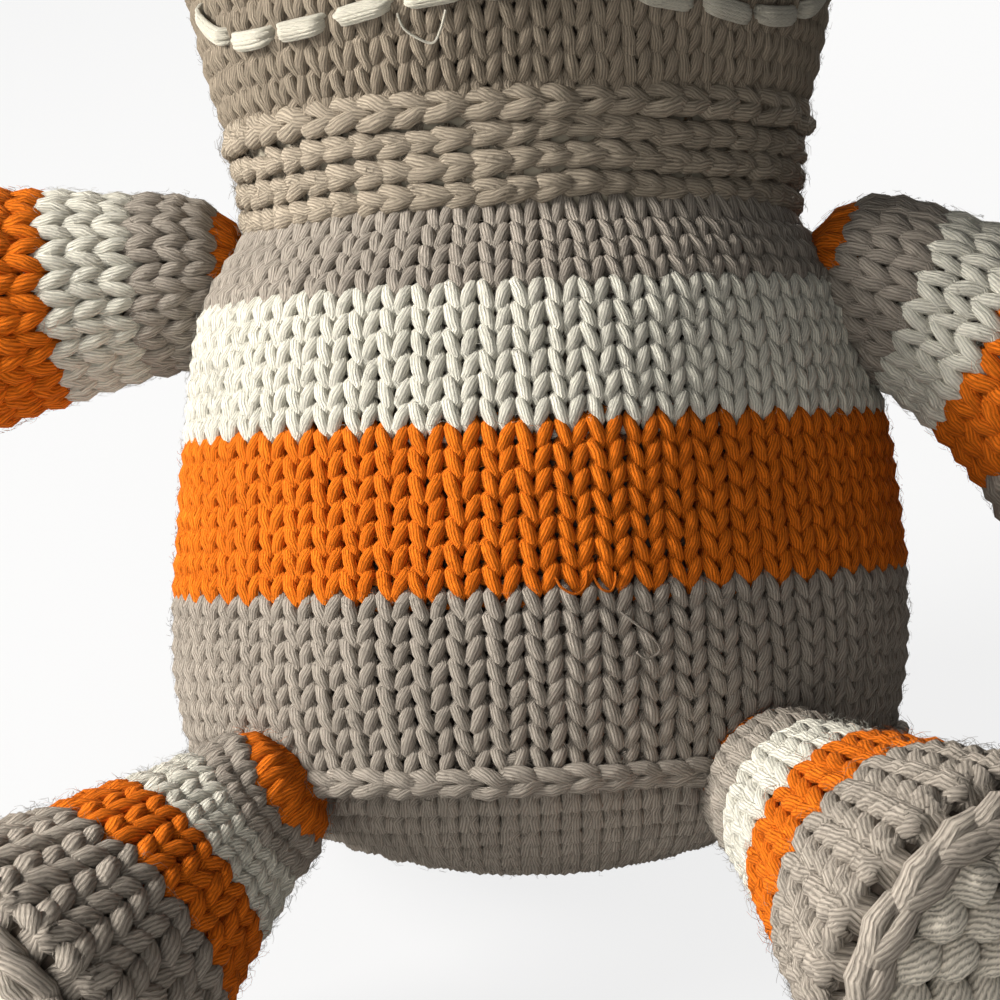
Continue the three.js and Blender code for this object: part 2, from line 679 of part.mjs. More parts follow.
// The whole toy, leaned back and set down on its flat
const toy = new THREE.Group();
toy.rotation.x = -radians(LEAN);
toy.add(
  ...makeTorso(),
  ...makeHead(),
  makeEye("right"),
  makeEye("left"),
  makeEar("right_ear", -1),
  makeEar("left_ear", 1),
  makeLimb("right_arm", armShape, RIGHT_ARM_BEND),
  makeLimb("left_arm", armShape, LEFT_ARM_BEND),
  makeLimb("right_leg", legShape, 0),
  makeLimb("left_leg", legShape, 0),
  makeTail(),
);
toy.position.copy(seatMiddle.clone().applyEuler(toy.rotation)).negate();

const rhino = new THREE.Group();
rhino.name = "knitted_rhino";
rhino.add(toy);

export default rhino;
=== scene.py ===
# %% [markdown]
# # A knitted rhino, stitch by stitch
#
# The toy is a set of stuffed bags of knitting. A knitted surface could be painted on with a bump, but from this
# close every loop of yarn casts its own shadow, so here the yarn is real geometry: each row of knitting is one
# long tube that follows a looping curve laid over a bag's surface.
#
# Everything is worked out in millimetres in the toy's own frame, where the body's axis stands upright, and is
# turned into the shared frame in metres when a mesh is made.

# %% Load the frame
import json

import bpy
import numpy as np
from mathutils import Matrix, Vector


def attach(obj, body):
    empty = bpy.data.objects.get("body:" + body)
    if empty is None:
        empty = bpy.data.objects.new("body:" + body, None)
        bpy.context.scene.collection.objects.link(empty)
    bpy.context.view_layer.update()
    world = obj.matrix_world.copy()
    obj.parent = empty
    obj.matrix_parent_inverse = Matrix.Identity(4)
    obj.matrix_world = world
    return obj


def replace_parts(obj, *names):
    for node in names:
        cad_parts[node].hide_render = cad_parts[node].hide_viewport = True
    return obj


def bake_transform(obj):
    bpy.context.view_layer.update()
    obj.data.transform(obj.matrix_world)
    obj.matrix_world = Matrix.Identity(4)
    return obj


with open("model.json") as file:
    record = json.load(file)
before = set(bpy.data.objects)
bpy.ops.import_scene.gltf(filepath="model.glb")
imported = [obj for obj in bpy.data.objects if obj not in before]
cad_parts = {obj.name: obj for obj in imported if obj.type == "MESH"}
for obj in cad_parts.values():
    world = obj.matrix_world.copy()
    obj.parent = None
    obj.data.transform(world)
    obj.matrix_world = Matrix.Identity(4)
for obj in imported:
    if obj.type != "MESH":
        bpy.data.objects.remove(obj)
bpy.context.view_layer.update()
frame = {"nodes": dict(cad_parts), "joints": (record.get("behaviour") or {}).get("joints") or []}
joints = {joint["name"]: joint for joint in frame["joints"]}

# %% [markdown]
# The body leans back. Its axis is the hinge line of the neck, so the frame can be read from that joint. The base is
# a cap of a large sphere, pressed flat by a millimetre where it sits, and that flat's middle is the shared origin.

# %% The toy's own frame
BASE_RADIUS, BASE_DEPTH, SEAT_FLAT = 44.0, 15.0, 1.0

axis_up = np.array(joints["neck_turn"]["axis"])
axis_back = np.array([0.0, axis_up[2], -axis_up[1]])
axes = np.array([[1.0, 0.0, 0.0], axis_back, axis_up])
base_sphere = (BASE_RADIUS**2 + BASE_DEPTH**2) / (2 * BASE_DEPTH)
seat_reach = base_sphere - SEAT_FLAT
seat = np.array([0.0, axis_up[1] * seat_reach, base_sphere - axis_up[2] * seat_reach])
toy_origin = -(seat @ axes) / 1000


def to_world(points):
    """Toy millimetres to shared metres: each coordinate times its axis, and nothing sinks below the floor."""
    placed = toy_origin + (np.asarray(points) / 1000) @ axes
    placed[..., 2] = np.maximum(placed[..., 2], 1e-4)
    return placed


def to_toy(point):
    """Shared metres to toy millimetres: the offset from the toy's origin along each of its axes."""
    return (np.asarray(point) - toy_origin) @ axes.T * 1000


def unit(vectors):
    """Vectors divided by their lengths."""
    return vectors / np.maximum(np.linalg.norm(vectors, axis=-1, keepdims=True), 1e-9)


print("toy origin", toy_origin.round(4), "lean", np.degrees(np.arcsin(axis_up[1])).round(2))

# %% [markdown]
# ## Camera
#
# The photograph looks straight at the leaning body, from close by and through a long lens, and is turned a little
# clockwise. The camera's own axes are built in the toy's frame for that reason.

# %% Camera
LENS = 120.2
CAMERA_FROM = np.array([-4.15, -420.0, 48.2])
CAMERA_ROLL = np.radians(2.6)
CAMERA_AIM = 0.003  # how far below the body's level the middle of the picture looks, as a slope

camera_data = bpy.data.cameras.new("camera")
camera_data.lens = LENS
camera_data.sensor_width = 36
camera = bpy.data.objects.new("camera", camera_data)
bpy.context.scene.collection.objects.link(camera)
right = np.array([np.cos(CAMERA_ROLL), 0, -np.sin(CAMERA_ROLL)]) @ axes
level_up = np.array([np.sin(CAMERA_ROLL), 0, np.cos(CAMERA_ROLL)]) @ axes
away = axes[1] - CAMERA_AIM * level_up
away /= np.linalg.norm(away)
stance = np.eye(4)
stance[:3, :3] = np.stack([right, np.cross(right, away), -away], axis=1)
stance[:3, 3] = to_world(CAMERA_FROM)
camera.matrix_world = Matrix(stance.tolist())
bpy.context.scene.camera = camera
print("camera", stance[:3, 3].round(3))

# %% [markdown]
# ## Light and floor
#
# A broad soft lamp stands to the toy's right, like a window, so that the far side falls into shade as in the
# photograph. A weak one in front fills the shade, and another lights the back. Each is a spot with a wide cone that
# fades out to its edge, where a flat panel would draw a hard line across the floor. The floor looks almost white to
# the camera, and sends some light back up under the toy.

# %% Light and floor
LAMPS = {  # way to the lamp, width, power
    "key": ((-0.91, -0.36, 0.40), 0.36, 68.0),
    "fill": ((-0.30, -0.95, -0.15), 0.70, 13.5),
    "back": ((0.30, 0.93, 0.40), 0.50, 30.0),
}
LAMP_CONE = np.radians(80)
LAMP_COLOUR, SKY_COLOUR = (1.0, 0.97, 0.92), (0.93, 0.96, 1.0, 1)
LAMP_DISTANCE = 800.0
LAMP_AIM = np.array([0.0, 0.0, 60.0])
SKY = 0.08
FLOOR_PALE, FLOOR_SEEN, FLOOR_GLOW = 0.55, 0.05, 0.83  # paint that lights the toy, paint that shows, and glow
FLOOR_REACH = 4.0

scene = bpy.context.scene
scene.view_settings.view_transform = "Standard"

for name, (way, width, power) in LAMPS.items():
    lamp_data = bpy.data.lights.new(name, "SPOT")
    lamp_data.spot_size, lamp_data.spot_blend = LAMP_CONE, 1.0
    lamp_data.shadow_soft_size = width / 2
    lamp_data.energy = power
    lamp_data.color = LAMP_COLOUR
    lamp = bpy.data.objects.new(name, lamp_data)
    scene.collection.objects.link(lamp)
    lamp.location = to_world(LAMP_AIM + LAMP_DISTANCE * unit(np.array(way)))
    lamp.rotation_mode = "QUATERNION"
    lamp.rotation_quaternion = (Vector(to_world(LAMP_AIM)) - lamp.location).to_track_quat("-Z", "Y")
    print(name, "lamp", [round(v, 3) for v in lamp.location])

world = bpy.data.worlds.new("studio")
scene.world = world
world.use_nodes = True
sky = world.node_tree.nodes["Background"]
sky.inputs["Color"].default_value = SKY_COLOUR

floor_mesh = bpy.data.meshes.new("floor")
corners = FLOOR_REACH * np.array([(-1, -1, 0), (1, -1, 0), (1, 1, 0), (-1, 1, 0)])
floor_mesh.from_pydata(corners.tolist(), [], [(0, 1, 2, 3)])
floor = bpy.data.objects.new("floor", floor_mesh)
scene.collection.objects.link(floor)

# %% [markdown]
# ## Shader sums
#
# Materials are sums over positions, so a socket is wrapped in a small class that turns +, - and * into Math nodes.
# One method makes any other node.

# %% A socket that can be added and multiplied


class Flow:
    """An output socket of a node tree: sums of flows become Math nodes, and node() adds any other kind."""

    def __init__(self, tree, socket=None):
        self.tree, self.socket = tree, socket

    def node(self, kind, inputs=None, output=0, **settings):
        made = self.tree.nodes.new("ShaderNode" + kind)
        for name, value in settings.items():
            setattr(made, name, value)
        for name, value in (inputs or {}).items():
            if isinstance(value, Flow):
                self.tree.links.new(value.socket, made.inputs[name])
            else:
                made.inputs[name].default_value = value
        return Flow(self.tree, made.outputs[output])

    def sum(self, operation, *others):
        return self.node("Math", dict(enumerate((self, *others))), operation=operation)

    def __add__(self, other):
        return self.sum("ADD", other)

    def __sub__(self, other):
        return self.sum("SUBTRACT", other)

    def __mul__(self, other):
        return self.sum("MULTIPLY", other)

    __radd__, __rmul__ = __add__, __mul__

    def __rsub__(self, other):
        return self * -1 + other

    def wave(self):
        return self.sum("SINE") * 0.5 + 0.5

    def mix(self, low, high):
        return self.node("Mix", {0: self, 6: low, 7: high}, output=2, data_type="RGBA")


def new_material(name, **constants):
    """A material with only a Principled surface whose constant sockets are set: its flow, its surface and itself."""
    material = bpy.data.materials.new(name)
    material.use_nodes = True
    surface = material.node_tree.nodes["Principled BSDF"]
    for socket, value in constants.items():
        surface.inputs[socket.replace("_", " ")].default_value = value
    return Flow(material.node_tree), surface, material


# %% [markdown]
# The floor's shader adds a glow that only the camera and mirror images see, so it looks pale near and far, while its
# own paint still shows the toy's shadow. The sky behind it is pale to the camera in the same way.

# %% Floor and sky
BACKDROP = 0.86


def seen(flow):
    """One where a ray comes from the camera, or by way of a reflection or a refraction."""
    rays = [flow.node("LightPath", output=f"Is {kind} Ray") for kind in ("Camera", "Glossy", "Transmission")]
    return rays[0].sum("MAXIMUM", rays[1]).sum("MAXIMUM", rays[2])


flow = Flow(world.node_tree)
flow.tree.links.new((seen(flow) * (BACKDROP - SKY) + SKY).socket, sky.inputs["Strength"])
flow, surface, floor_paint = new_material("floor", Roughness=1.0)
paint = seen(flow).mix((*[FLOOR_PALE] * 3, 1), (*[FLOOR_SEEN] * 3, 1))
flow.tree.links.new(paint.socket, surface.inputs["Base Color"])
glow = flow.node("Emission", {"Strength": seen(flow) * FLOOR_GLOW})
both = flow.node("AddShader", {0: Flow(flow.tree, surface.outputs[0]), 1: glow})
flow.tree.links.new(both.socket, flow.tree.nodes["Material Output"].inputs["Surface"])
floor_mesh.materials.append(floor_paint)

# %% [markdown]
# ## Yarn
#
# The yarn is a loose bundle of fine strands with a slow twist. Its own UV map counts stitches along it and turns
# round it, so the strands are a sine of both. A power narrows the dark lines between them, which are painted shade, and
# noise that is stretched along the yarn breaks the strands up into fibres.

# %% Yarn material
STRANDS_ROUND, TWIST = 14, 6.0


def scaled(colour, by):
    """A colour made lighter or darker, with its alpha of 1."""
    return (*[min(channel * by, 0.97) for channel in colour], 1)


def yarn_material(name, colour, groove_shade=0.34, sheen=0.22):
    """A matte yarn: its colour on the strands, a darker copy as painted shade between them, and a slow drift from place
    to place.
    """
    flow, surface, material = new_material(
        name, Roughness=0.95, Sheen_Weight=sheen, Sheen_Roughness=0.5, Sheen_Tint=scaled(colour, 1.5))
    surface.inputs["Specular IOR Level"].default_value = 0.1
    uv = flow.node("UVMap", uv_map="yarn")
    along = flow.node("SeparateXYZ", {0: uv}, output="X")
    around = flow.node("SeparateXYZ", {0: uv}, output="Y")
    place = flow.node("TexCoord", output="Object")
    slow = flow.node("TexNoise", {"Vector": place, "Scale": 260.0, "Detail": 2.0})
    stretched = flow.node("CombineXYZ", {0: along * 5.0, 1: around * 60.0, 2: slow * 9.0})
    fibres = flow.node("TexNoise", {"Vector": stretched, "Scale": 1.0, "Detail": 3.0, "Roughness": 0.75})
    strand = ((around * STRANDS_ROUND + along * TWIST + slow * 2.2 + fibres * 1.3) * (2 * np.pi)).wave()
    line = (1 - strand).sum("POWER", 2.0)
    crest = fibres * 1.5 - line * 0.62 + 0.15
    drift = flow.node("TexNoise", {"Vector": place, "Scale": 45.0, "Detail": 4.0, "Roughness": 0.65})
    worn = (drift * 1.8 - 0.4).mix(scaled(colour, 0.80), scaled(colour, 1.16))
    # painted shade: between the strands the colour falls to a darker copy of itself
    tone = crest.mix(scaled(colour, groove_shade), worn)
    bump = flow.node("Bump", {"Height": crest, "Strength": 0.9, "Distance": 0.0003})
    flow.tree.links.new(tone.socket, surface.inputs["Base Color"])
    flow.tree.links.new(bump.socket, surface.inputs["Normal"])
    return material


yarns = {
    "grey": yarn_material("yarn_grey", (0.42, 0.37, 0.315)),
    "taupe": yarn_material("yarn_taupe", (0.355, 0.295, 0.225)),
    "band": yarn_material("yarn_band", (0.45, 0.38, 0.295)),
    # the soles' yarn is a paler yarn, made lighter still as painted light for the light the soles catch
    "sole": yarn_material("yarn_sole_with_painted_light", (0.76, 0.69, 0.585)),
    "orange": yarn_material("yarn_orange", (0.92, 0.20, 0.012), sheen=0.05),
    "white": yarn_material("yarn_white", (0.80, 0.77, 0.66), groove_shade=0.5),
    "cream": yarn_material("yarn_cream", (0.86, 0.80, 0.66), groove_shade=0.5),
}
print("yarns", sorted(yarns))

# %% [markdown]
# ## Curves, surfaces and tubes
#
# Outlines are smooth curves through a few points. A surface is a function of two numbers, how far across and how
# far up, that gives points. Its normal is the cross product of its two slopes, so anything can be laid on any
# surface and raised off it.

# %% Curves and surfaces


def through(knots, share):
    """A curve through knots: between two of them, the cubic whose slope at each is half its neighbours' distance."""
    knots = np.asarray(knots, float)
    last = len(knots) - 1
    place = np.minimum(share, 1) * last
    i = np.minimum(place.astype(int), last - 1)
    w = (place - i)[..., None]
    a, b = knots[i], knots[i + 1]
    leave = (b - knots[np.maximum(i - 1, 0)]) / 2
    arrive = (knots[np.minimum(i + 2, last)] - a) / 2
    return (2 * a - 2 * b + leave + arrive) * w**3 + (3 * b - 3 * a - 2 * leave - arrive) * w**2 + leave * w + a


def on_ring(turn, radius, height):
    """A point round an upright axis: radius times the sine and minus the cosine of the turn, then the height."""
    turn, radius, height = np.broadcast_arrays(turn, radius, height)
    return np.stack([radius * np.sin(turn), -radius * np.cos(turn), height], axis=-1)


def lay(fabric, across, up, out, step=0.02):
    """Points of a fabric raised along its normal, the cross product of its two slopes, and those normals."""
    across, up, out = np.broadcast_arrays(across, up, out)
    side = fabric(across + step, up) - fabric(across - step, up)
    rise = fabric(across, up + step) - fabric(across, up - step)
    normal = unit(np.cross(side, rise))
    return fabric(across, up) + out[..., None] * normal, normal


# %% [markdown]
# A mesh is collected from parts. A part is its points and some sets of faces, each with a UV for every corner: the
# distance along a tube and the turn round it.

# %% Tubes and meshes
SIDES = 8
SAMPLES = 12  # points along one stitch


def tubes(centre, normal, wide, thick, closed, sides=SIDES):
    """Tubes along rows of points: each section is an ellipse, wide across the surface and thick out of it."""
    rows, count, _ = centre.shape
    way = np.roll(centre, -1, 1) - np.roll(centre, 1, 1) if closed else np.gradient(centre, axis=1)
    beside = unit(np.cross(way, normal))
    out = unit(np.cross(beside, way))
    angle = 2 * np.pi * np.arange(sides) / sides
    wide, thick = (np.broadcast_to(size, (rows, count))[..., None] for size in (wide, thick))
    points = centre[:, :, None] + (wide * np.cos(angle))[..., None] * beside[:, :, None]
    points = points + (thick * np.sin(angle))[..., None] * out[:, :, None]
    row, i, j = np.meshgrid(np.arange(rows), np.arange(count if closed else count - 1), np.arange(sides), indexing="ij")
    number = lambda i, j: ((row * count + i % count) * sides + j % sides).ravel()
    quads = np.stack([number(i, j), number(i + 1, j), number(i + 1, j + 1), number(i, j + 1)], axis=1)
    mark = lambda i, j: np.stack([(row * 7.3 + i / SAMPLES).ravel(), (j / sides).ravel()], axis=1)
    marks = np.stack([mark(i, j), mark(i + 1, j), mark(i + 1, j + 1), mark(i, j + 1)], axis=1)
    faces = [(quads, marks)]
    if not closed:
        start = np.arange(rows)[:, None] * count * sides
        low = start + np.arange(sides)
        high = start + (count - 1) * sides + np.arange(sides)[::-1]
        ends = np.concatenate([low, high])
        faces.append((ends, np.zeros((*ends.shape, 2))))
    return points.reshape(-1, 3), faces


def shell(rings):
    """A closed skin over rings of points, whose first and last ring are closed by a face each."""
    rows, count, _ = rings.shape
    row, i = np.meshgrid(np.arange(rows - 1), np.arange(count), indexing="ij")
    number = lambda row, i: (row * count + i % count).ravel()
    quads = np.stack([number(row, i), number(row, i + 1), number(row + 1, i + 1), number(row + 1, i)], axis=1)
    ends = np.stack([np.arange(count)[::-1], (rows - 1) * count + np.arange(count)])
    faces = [(quads, np.zeros((*quads.shape, 2))), (ends, np.zeros((*ends.shape, 2)))]
    return rings.reshape(-1, 3), faces


def make(name, parts, material):
    """One smooth mesh object from parts in toy millimetres."""
    points = to_world(np.concatenate([part[0] for part in parts]))
    first = np.cumsum([0] + [len(part[0]) for part in parts])
    sets = [(faces + start, marks) for start, part in zip(first, parts) for faces, marks in part[1]]
    sizes = np.concatenate([np.full(len(faces), faces.shape[1]) for faces, _ in sets])
    starts = np.cumsum(sizes) - sizes
    loops = np.concatenate([faces.ravel() for faces, _ in sets])
    mesh = bpy.data.meshes.new(name)
    mesh.vertices.add(len(points))
    mesh.vertices.foreach_set("co", points.astype(np.float32).ravel())
    mesh.loops.add(len(loops))
    mesh.loops.foreach_set("vertex_index", loops.astype(np.int32))
    mesh.polygons.add(len(sizes))
    mesh.polygons.foreach_set("loop_start", starts.astype(np.int32))
    mesh.polygons.foreach_set("use_smooth", np.ones(len(sizes), bool))
    uv = mesh.uv_layers.new(name="yarn")
    uv.uv.foreach_set("vector", np.concatenate([marks.reshape(-1, 2) for _, marks in sets]).astype(np.float32).ravel())
    mesh.update(calc_edges=True)
    mesh.materials.append(material)
    piece = bpy.data.objects.new(name, mesh)
    scene.collection.objects.link(piece)
    print(f"{name}: {(sizes - 2).sum()} triangles")
    return piece


# %% [markdown]
# ## One stitch
#
# In plain knitting each row is a single yarn. Along a stitch, counted by a phase t, it swings up and down by a
# cosine, doubles back sideways by a sine at twice the rate, and comes forward on the two legs of the V and back at
# its head and foot. Each loop reaches into the row above, so the legs of one row cover the heads of the row below.
# No two hand-made stitches are alike, so each leg gets a small push of its own from a seeded generator.

# %% Knitting on a surface
REACH = 0.84  # how far a loop swings up and down, in rows
DOUBLE_BACK = 0.23  # how far it doubles back sideways, in stitches
DEPTH = 0.78  # how far legs stand before heads, in yarn radii
SINK = 1.6  # how far the middle of the fabric lies inside its face, in yarn radii


def wobble(rng, rows, count):
    """Smooth noise along each row, with one free value for each leg of a stitch."""
    legs = max(2 * count // SAMPLES, 2)
    value = rng.normal(size=(rows, legs))
    place = np.arange(count) * 2 / SAMPLES
    i = place.astype(int)
    w = place - i
    w = w * w * (3 - 2 * w)
    return value[:, i % legs] * (1 - w) + value[:, (i + 1) % legs] * w


def knit(fabric, wales, rows, yarn, closed=True, reach=REACH, loose=1.0, seed=1):
    """Rows of loops: across = t/2pi + b sin 2t, up = row + h cos t, out = -d cos 2t, each with its wobble."""
    rng = np.random.default_rng(seed)
    rows = np.atleast_1d(np.asarray(rows, float))[:, None]
    count = wales * SAMPLES + (0 if closed else 1)
    t = 2 * np.pi * np.arange(count) / SAMPLES - (0 if closed else np.pi)
    push = lambda size: loose * size * wobble(rng, len(rows), count)
    across = t / (2 * np.pi) + DOUBLE_BACK * np.sin(2 * t) + push(0.04) + (0 if closed else 0.5)
    up = rows + reach * np.cos(t) + push(0.05)
    out = yarn * (push(0.1) - DEPTH * np.cos(2 * t) - SINK)
    centre, normal = lay(fabric, across, up, out)
    plump = yarn * (0.92 + 0.16 * np.sin(t) ** 2 + push(0.05))
    return tubes(centre, normal, plump, 0.88 * plump, closed)


# %% [markdown]
# Wool is fuzzy: single fibres stand off the yarn in all directions. Each is a thin three-sided tube that starts in
# the fabric, runs off at a random angle and curls away from it.

# %% Stray fibres
FIBRE_RADIUS = 0.028


def fuzz(fabric, wales, rows, count, length, stand, seed):
    """Fibres that start at random places of a patch, go a random way, and rise off it with the square of the share."""
    rng = np.random.default_rng(seed)
    draw = lambda low, high: rng.uniform(low, high, (count, 1))
    share = np.linspace(0, 1, 3)
    angle = draw(0, 2 * np.pi) + draw(-1.6, 1.6) * share
    reach = length * draw(0.3, 1.0) * share
    across = draw(0, wales) + reach * np.cos(angle)
    up = draw(*rows) + reach * np.sin(angle)
    out = draw(-0.6, 0.2) + stand * draw(0.1, 1.0) ** 2 * share * (2 - share)
    centre, normal = lay(fabric, across, up, out)
    size = FIBRE_RADIUS * draw(0.6, 1.2) * (1 - 0.5 * share)
    return tubes(centre, normal, size, size, closed=False, sides=3)


# %% [markdown]
# Hand work has loose ends too: a snagged loop, or a thread that was cut long. Such an end is one thin tube through a
# few points on or above the fabric.

# %% Loose ends
THREAD_RADIUS = 0.16


def loose_end(fabric, knots):
    """A thread along a smooth curve through points of a fabric, each given across, up and out of it."""
    across, up, out = np.moveaxis(through(knots, np.linspace(0, 1, 40)[None, :]), -1, 0)
    centre, normal = lay(fabric, across, up, out)
    return tubes(centre, normal, THREAD_RADIUS, THREAD_RADIUS, closed=False)


# %% [markdown]
# Round forms such as the base are worked in closed rounds, each with as many stitches as its girth holds, as a
# knitter adds and drops stitches to shape a ball. A yarn fills a fixed share of its stitch.

# %% Rounds of knitting
YARN_SHARE = 0.225  # a yarn's radius, in stitch widths


def rounds(place, count, stitch, seed, least=6, reach=REACH, share=YARN_SHARE):
    """Closed rounds of a form given by turn and row: the stitches of each are its girth over a stitch's width."""
    parts = []
    for row in range(count):
        circle = place(np.linspace(0, 2 * np.pi, 49), np.full(49, row + 0.5))
        girth = np.linalg.norm(np.diff(circle, axis=0), axis=1).sum()
        wales = max(least, round(girth / stitch))
        stitches = lambda across, up: place(2 * np.pi * across / wales, up)
        parts.append(knit(stitches, wales, [row + 0.5], share * girth / wales, reach=reach, seed=seed + row))
    return parts


# %% [markdown]
# ## Where the limbs sit
#
# Each limb's root is a ball that rests in a dimple of the body, and the ball's middle is its joint, or lies a few
# millimetres off it where an arm is sewn closer to the body. The dimple could be cut with a boolean, but yarn has to
# run on into it, so the body's surface itself is drawn back: a point inside a ball moves against the limb's heading
# until it lies on the ball's far side.

# %% Limb roots and dimples
ROOT_ROOM = -1.0  # sewn edges press into each other
SEWN_OFF = {"right_arm": (2.0, 0, 1.6), "left_arm": (-2.6, 0, 2.0)}  # where a root is sewn, from its joint
ARM = {"root": 11.6, "end": 19.6, "length": 42.0, "flare": 1.25}
LEG = {"root": 9.8, "end": 21.5, "length": 36.0, "flare": 1.1}
TAIL = {"root": 3.8, "end": 3.0, "length": 30.0, "flare": 1.0}
LIMBS = {  # joint, form, turn from straight ahead, rise, bend, and what the bend goes towards
    "right_arm": ("right_shoulder", ARM, -92, -3, 6, (0, 0, -1)),
    "left_arm": ("left_shoulder", ARM, 84, -24, 30, (0, 0, -1)),
    "right_leg": ("right_hip", LEG, -55, -32, 0, (0, 0, -1)),
    "left_leg": ("left_hip", LEG, 33, -24, 0, (0, 0, -1)),
    "tail": ("tail_swing", TAIL, 180, 26, 20, (1, 0, 0)),
}


def heading(turn, rise):
    """A unit way to point, from degrees: turned from straight ahead to the toy's left, and raised."""
    return on_ring(np.radians(turn), np.cos(np.radians(rise)), np.sin(np.radians(rise)))


def frame_at(way, towards):
    """Three axes as rows: the last is a way, the first is as near as it can be to a second way."""
    side = unit(np.asarray(towards, float) - np.dot(towards, way) * way)
    return np.stack([side, np.cross(way, side), way])


limb_roots = {
    name: to_toy(joints[plan[0]]["pos_m"]) + SEWN_OFF.get(name, (0, 0, 0)) for name, plan in LIMBS.items()
}
limb_ways = {name: heading(plan[2], plan[3]) for name, plan in LIMBS.items()}


def dimpled(points, inset=0.0):
    """Points inside a ball go back along its limb by the root of (depth^2 - distance^2 + radius^2), less depth."""
    for name, plan in LIMBS.items():
        offset = points - limb_roots[name]
        radius = plan[1]["root"] + ROOT_ROOM + inset
        depth = -(offset @ limb_ways[name])
        distance = (offset**2).sum(axis=-1)
        back = np.sqrt(np.maximum(depth**2 - distance + radius**2, 0)) - depth
        points = points - np.where(distance < radius**2, back, 0)[..., None] * limb_ways[name]
    return points


print("roots", {name: root.round(1).tolist() for name, root in limb_roots.items()})

# %% [markdown]
# ## Torso
#
# The sleeve is a bell of sixty-six stitches round and twenty-five rows, in stripes of grey, orange, white and grey.
# Stuffing makes it a little lumpy. Each stripe is a piece of its own, so that it can be dyed again by itself.

# %% Torso
WALES = 66
TORSO_YARN, TORSO_FIBRES = 0.82, 480
TORSO_KNOTS = [(44.0, 15.0), (46.2, 29.0), (44.3, 53.0), (41.0, 71.0), (34.6, 81.0)]
STRIPES = {"grey_low": (0, 8), "orange": (8, 15), "white": (15, 21), "grey_top": (21, 25)}
ROW_MARKS = [-1, 0, 8, 15, 21, 25, 26]
HEIGHT_MARKS = [13.0, 16.2, 36.8, 55.8, 72.2, 81.6, 84.5]
SNAGS = {  # stitch, row and height of each point of a loose end
    "grey_low": [
        [(2.0, 6.9, 0.2), (2.3, 6.4, 0.8), (2.75, 5.7, 1.1), (2.95, 5.1, 0.9), (2.6, 4.8, 0.7), (2.35, 5.1, 0.6)],
    ],
    "orange": [
        [(0.35, 8.6, -0.2), (0.5, 8.05, 0.6), (0.85, 7.75, 0.8), (1.1, 8.1, 0.6), (1.2, 8.7, -0.2)],
        [(1.35, 8.5, -0.2), (1.5, 7.95, 0.5), (1.75, 7.8, 0.6), (1.9, 8.2, 0.4), (1.95, 8.6, -0.2)],
    ],
}

torso_line = through(TORSO_KNOTS, np.linspace(0, 1, 400))


def torso(turn, height):
    """A bell round the axis: the radius at a height, and low waves round and up it for the stuffing's lumps."""
    radius = np.interp(height, torso_line[:, 1], torso_line[:, 0])
    lumps = 0.45 * np.sin(3 * turn + 0.7 + height / 17) + 0.3 * np.sin(5 * turn - height / 9)
    return dimpled(on_ring(turn, radius + lumps, height))


def torso_knit(across, up):
    """The torso by stitches and rows."""
    return torso(2 * np.pi * across / WALES, np.interp(up, ROW_MARKS, HEIGHT_MARKS))


for seed, (stripe, (low, high)) in enumerate(STRIPES.items()):
    dye = stripe.split("_")[0]
    piece = make(f"torso_{stripe}_yarn", [
        knit(torso_knit, WALES, np.arange(low, high) + 0.5, TORSO_YARN, seed=seed),
        fuzz(torso_knit, WALES, (low, high), TORSO_FIBRES * (high - low), 0.5, 0.6, seed + 10),
        *[loose_end(torso_knit, knots) for knots in SNAGS.get(stripe, [])],
    ], yarns[dye])
    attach(piece, "torso")
    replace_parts(piece, "torso_knit")

# %% [markdown]
# ## Base
#
# The bottom is a shallow dish worked in rounds towards its middle, and sewn to the sleeve with a thick chain. The
# chain is a strip of knitting one stitch wide, bent round a ring, so the same stitch makes it.

# %% Base and its seam
BASE_ROUNDS = 10
BASE_STITCH, BASE_REACH, BASE_RIDGE = 2.4, 0.50, 1.2
BASE_SHARE = 0.36
BASE_FIBRES, SEAM_FIBRES = 900, 1800
SEAM_COURSES, SEAM_YARN, SEAM_THICK = 78, 0.92, 2.1
SEAM_SHIFT, SEAM_FACING = 0.4, -0.15  # in and up from the base's edge, and the way its Vs face

base_reach = np.arcsin(BASE_RADIUS / base_sphere)


def base(turn, row):
    """A cap of the base's sphere, wound the other way: angles fall evenly to the middle, and rounds bulge by a sine."""
    angle = base_reach * (1 - row / BASE_ROUNDS)
    sphere = base_sphere - BASE_RIDGE * (1 - np.abs(np.sin(np.pi * row)))
    return dimpled(on_ring(-turn, sphere * np.sin(angle), base_sphere - sphere * np.cos(angle)))


def chain(courses, yarn, radius, height, thick, facing, seed, loose=2.0, spread=np.pi):
    """A one-stitch strip round a ring: across it an arc of a circle that is thick, facing some way; along it turns."""
    def strip(across, up):
        arc = facing + spread * (across - 0.5)
        return on_ring(-2 * np.pi * up / courses, radius + thick * np.cos(arc), height + thick * np.sin(arc))
    return strip, knit(strip, 1, np.arange(courses), yarn, closed=False, loose=loose, seed=seed)


base_knit = lambda across, up: base(2 * np.pi * across / WALES, up)
piece = make("base_yarn", [
    *rounds(base, BASE_ROUNDS - 1, BASE_STITCH, seed=40, reach=BASE_REACH, share=BASE_SHARE),
    fuzz(base_knit, WALES, (0, BASE_ROUNDS - 1), BASE_FIBRES, 0.6, 0.6, seed=60),
], yarns["grey"])
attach(piece, "torso")
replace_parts(piece, "base_knit")

seam_radius, seam_height = BASE_RADIUS - SEAM_SHIFT, BASE_DEPTH + SEAM_SHIFT
seam_strip, seam = chain(SEAM_COURSES, SEAM_YARN, seam_radius, seam_height, SEAM_THICK, SEAM_FACING, seed=61)
seam_dimpled = (dimpled(seam[0]), seam[1])
piece = make("base_seam_yarn", [
    seam_dimpled,
    fuzz(seam_strip, 1, (0, SEAM_COURSES), SEAM_FIBRES, 0.7, 0.9, seed=62),
], yarns["grey"])
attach(piece, "torso")
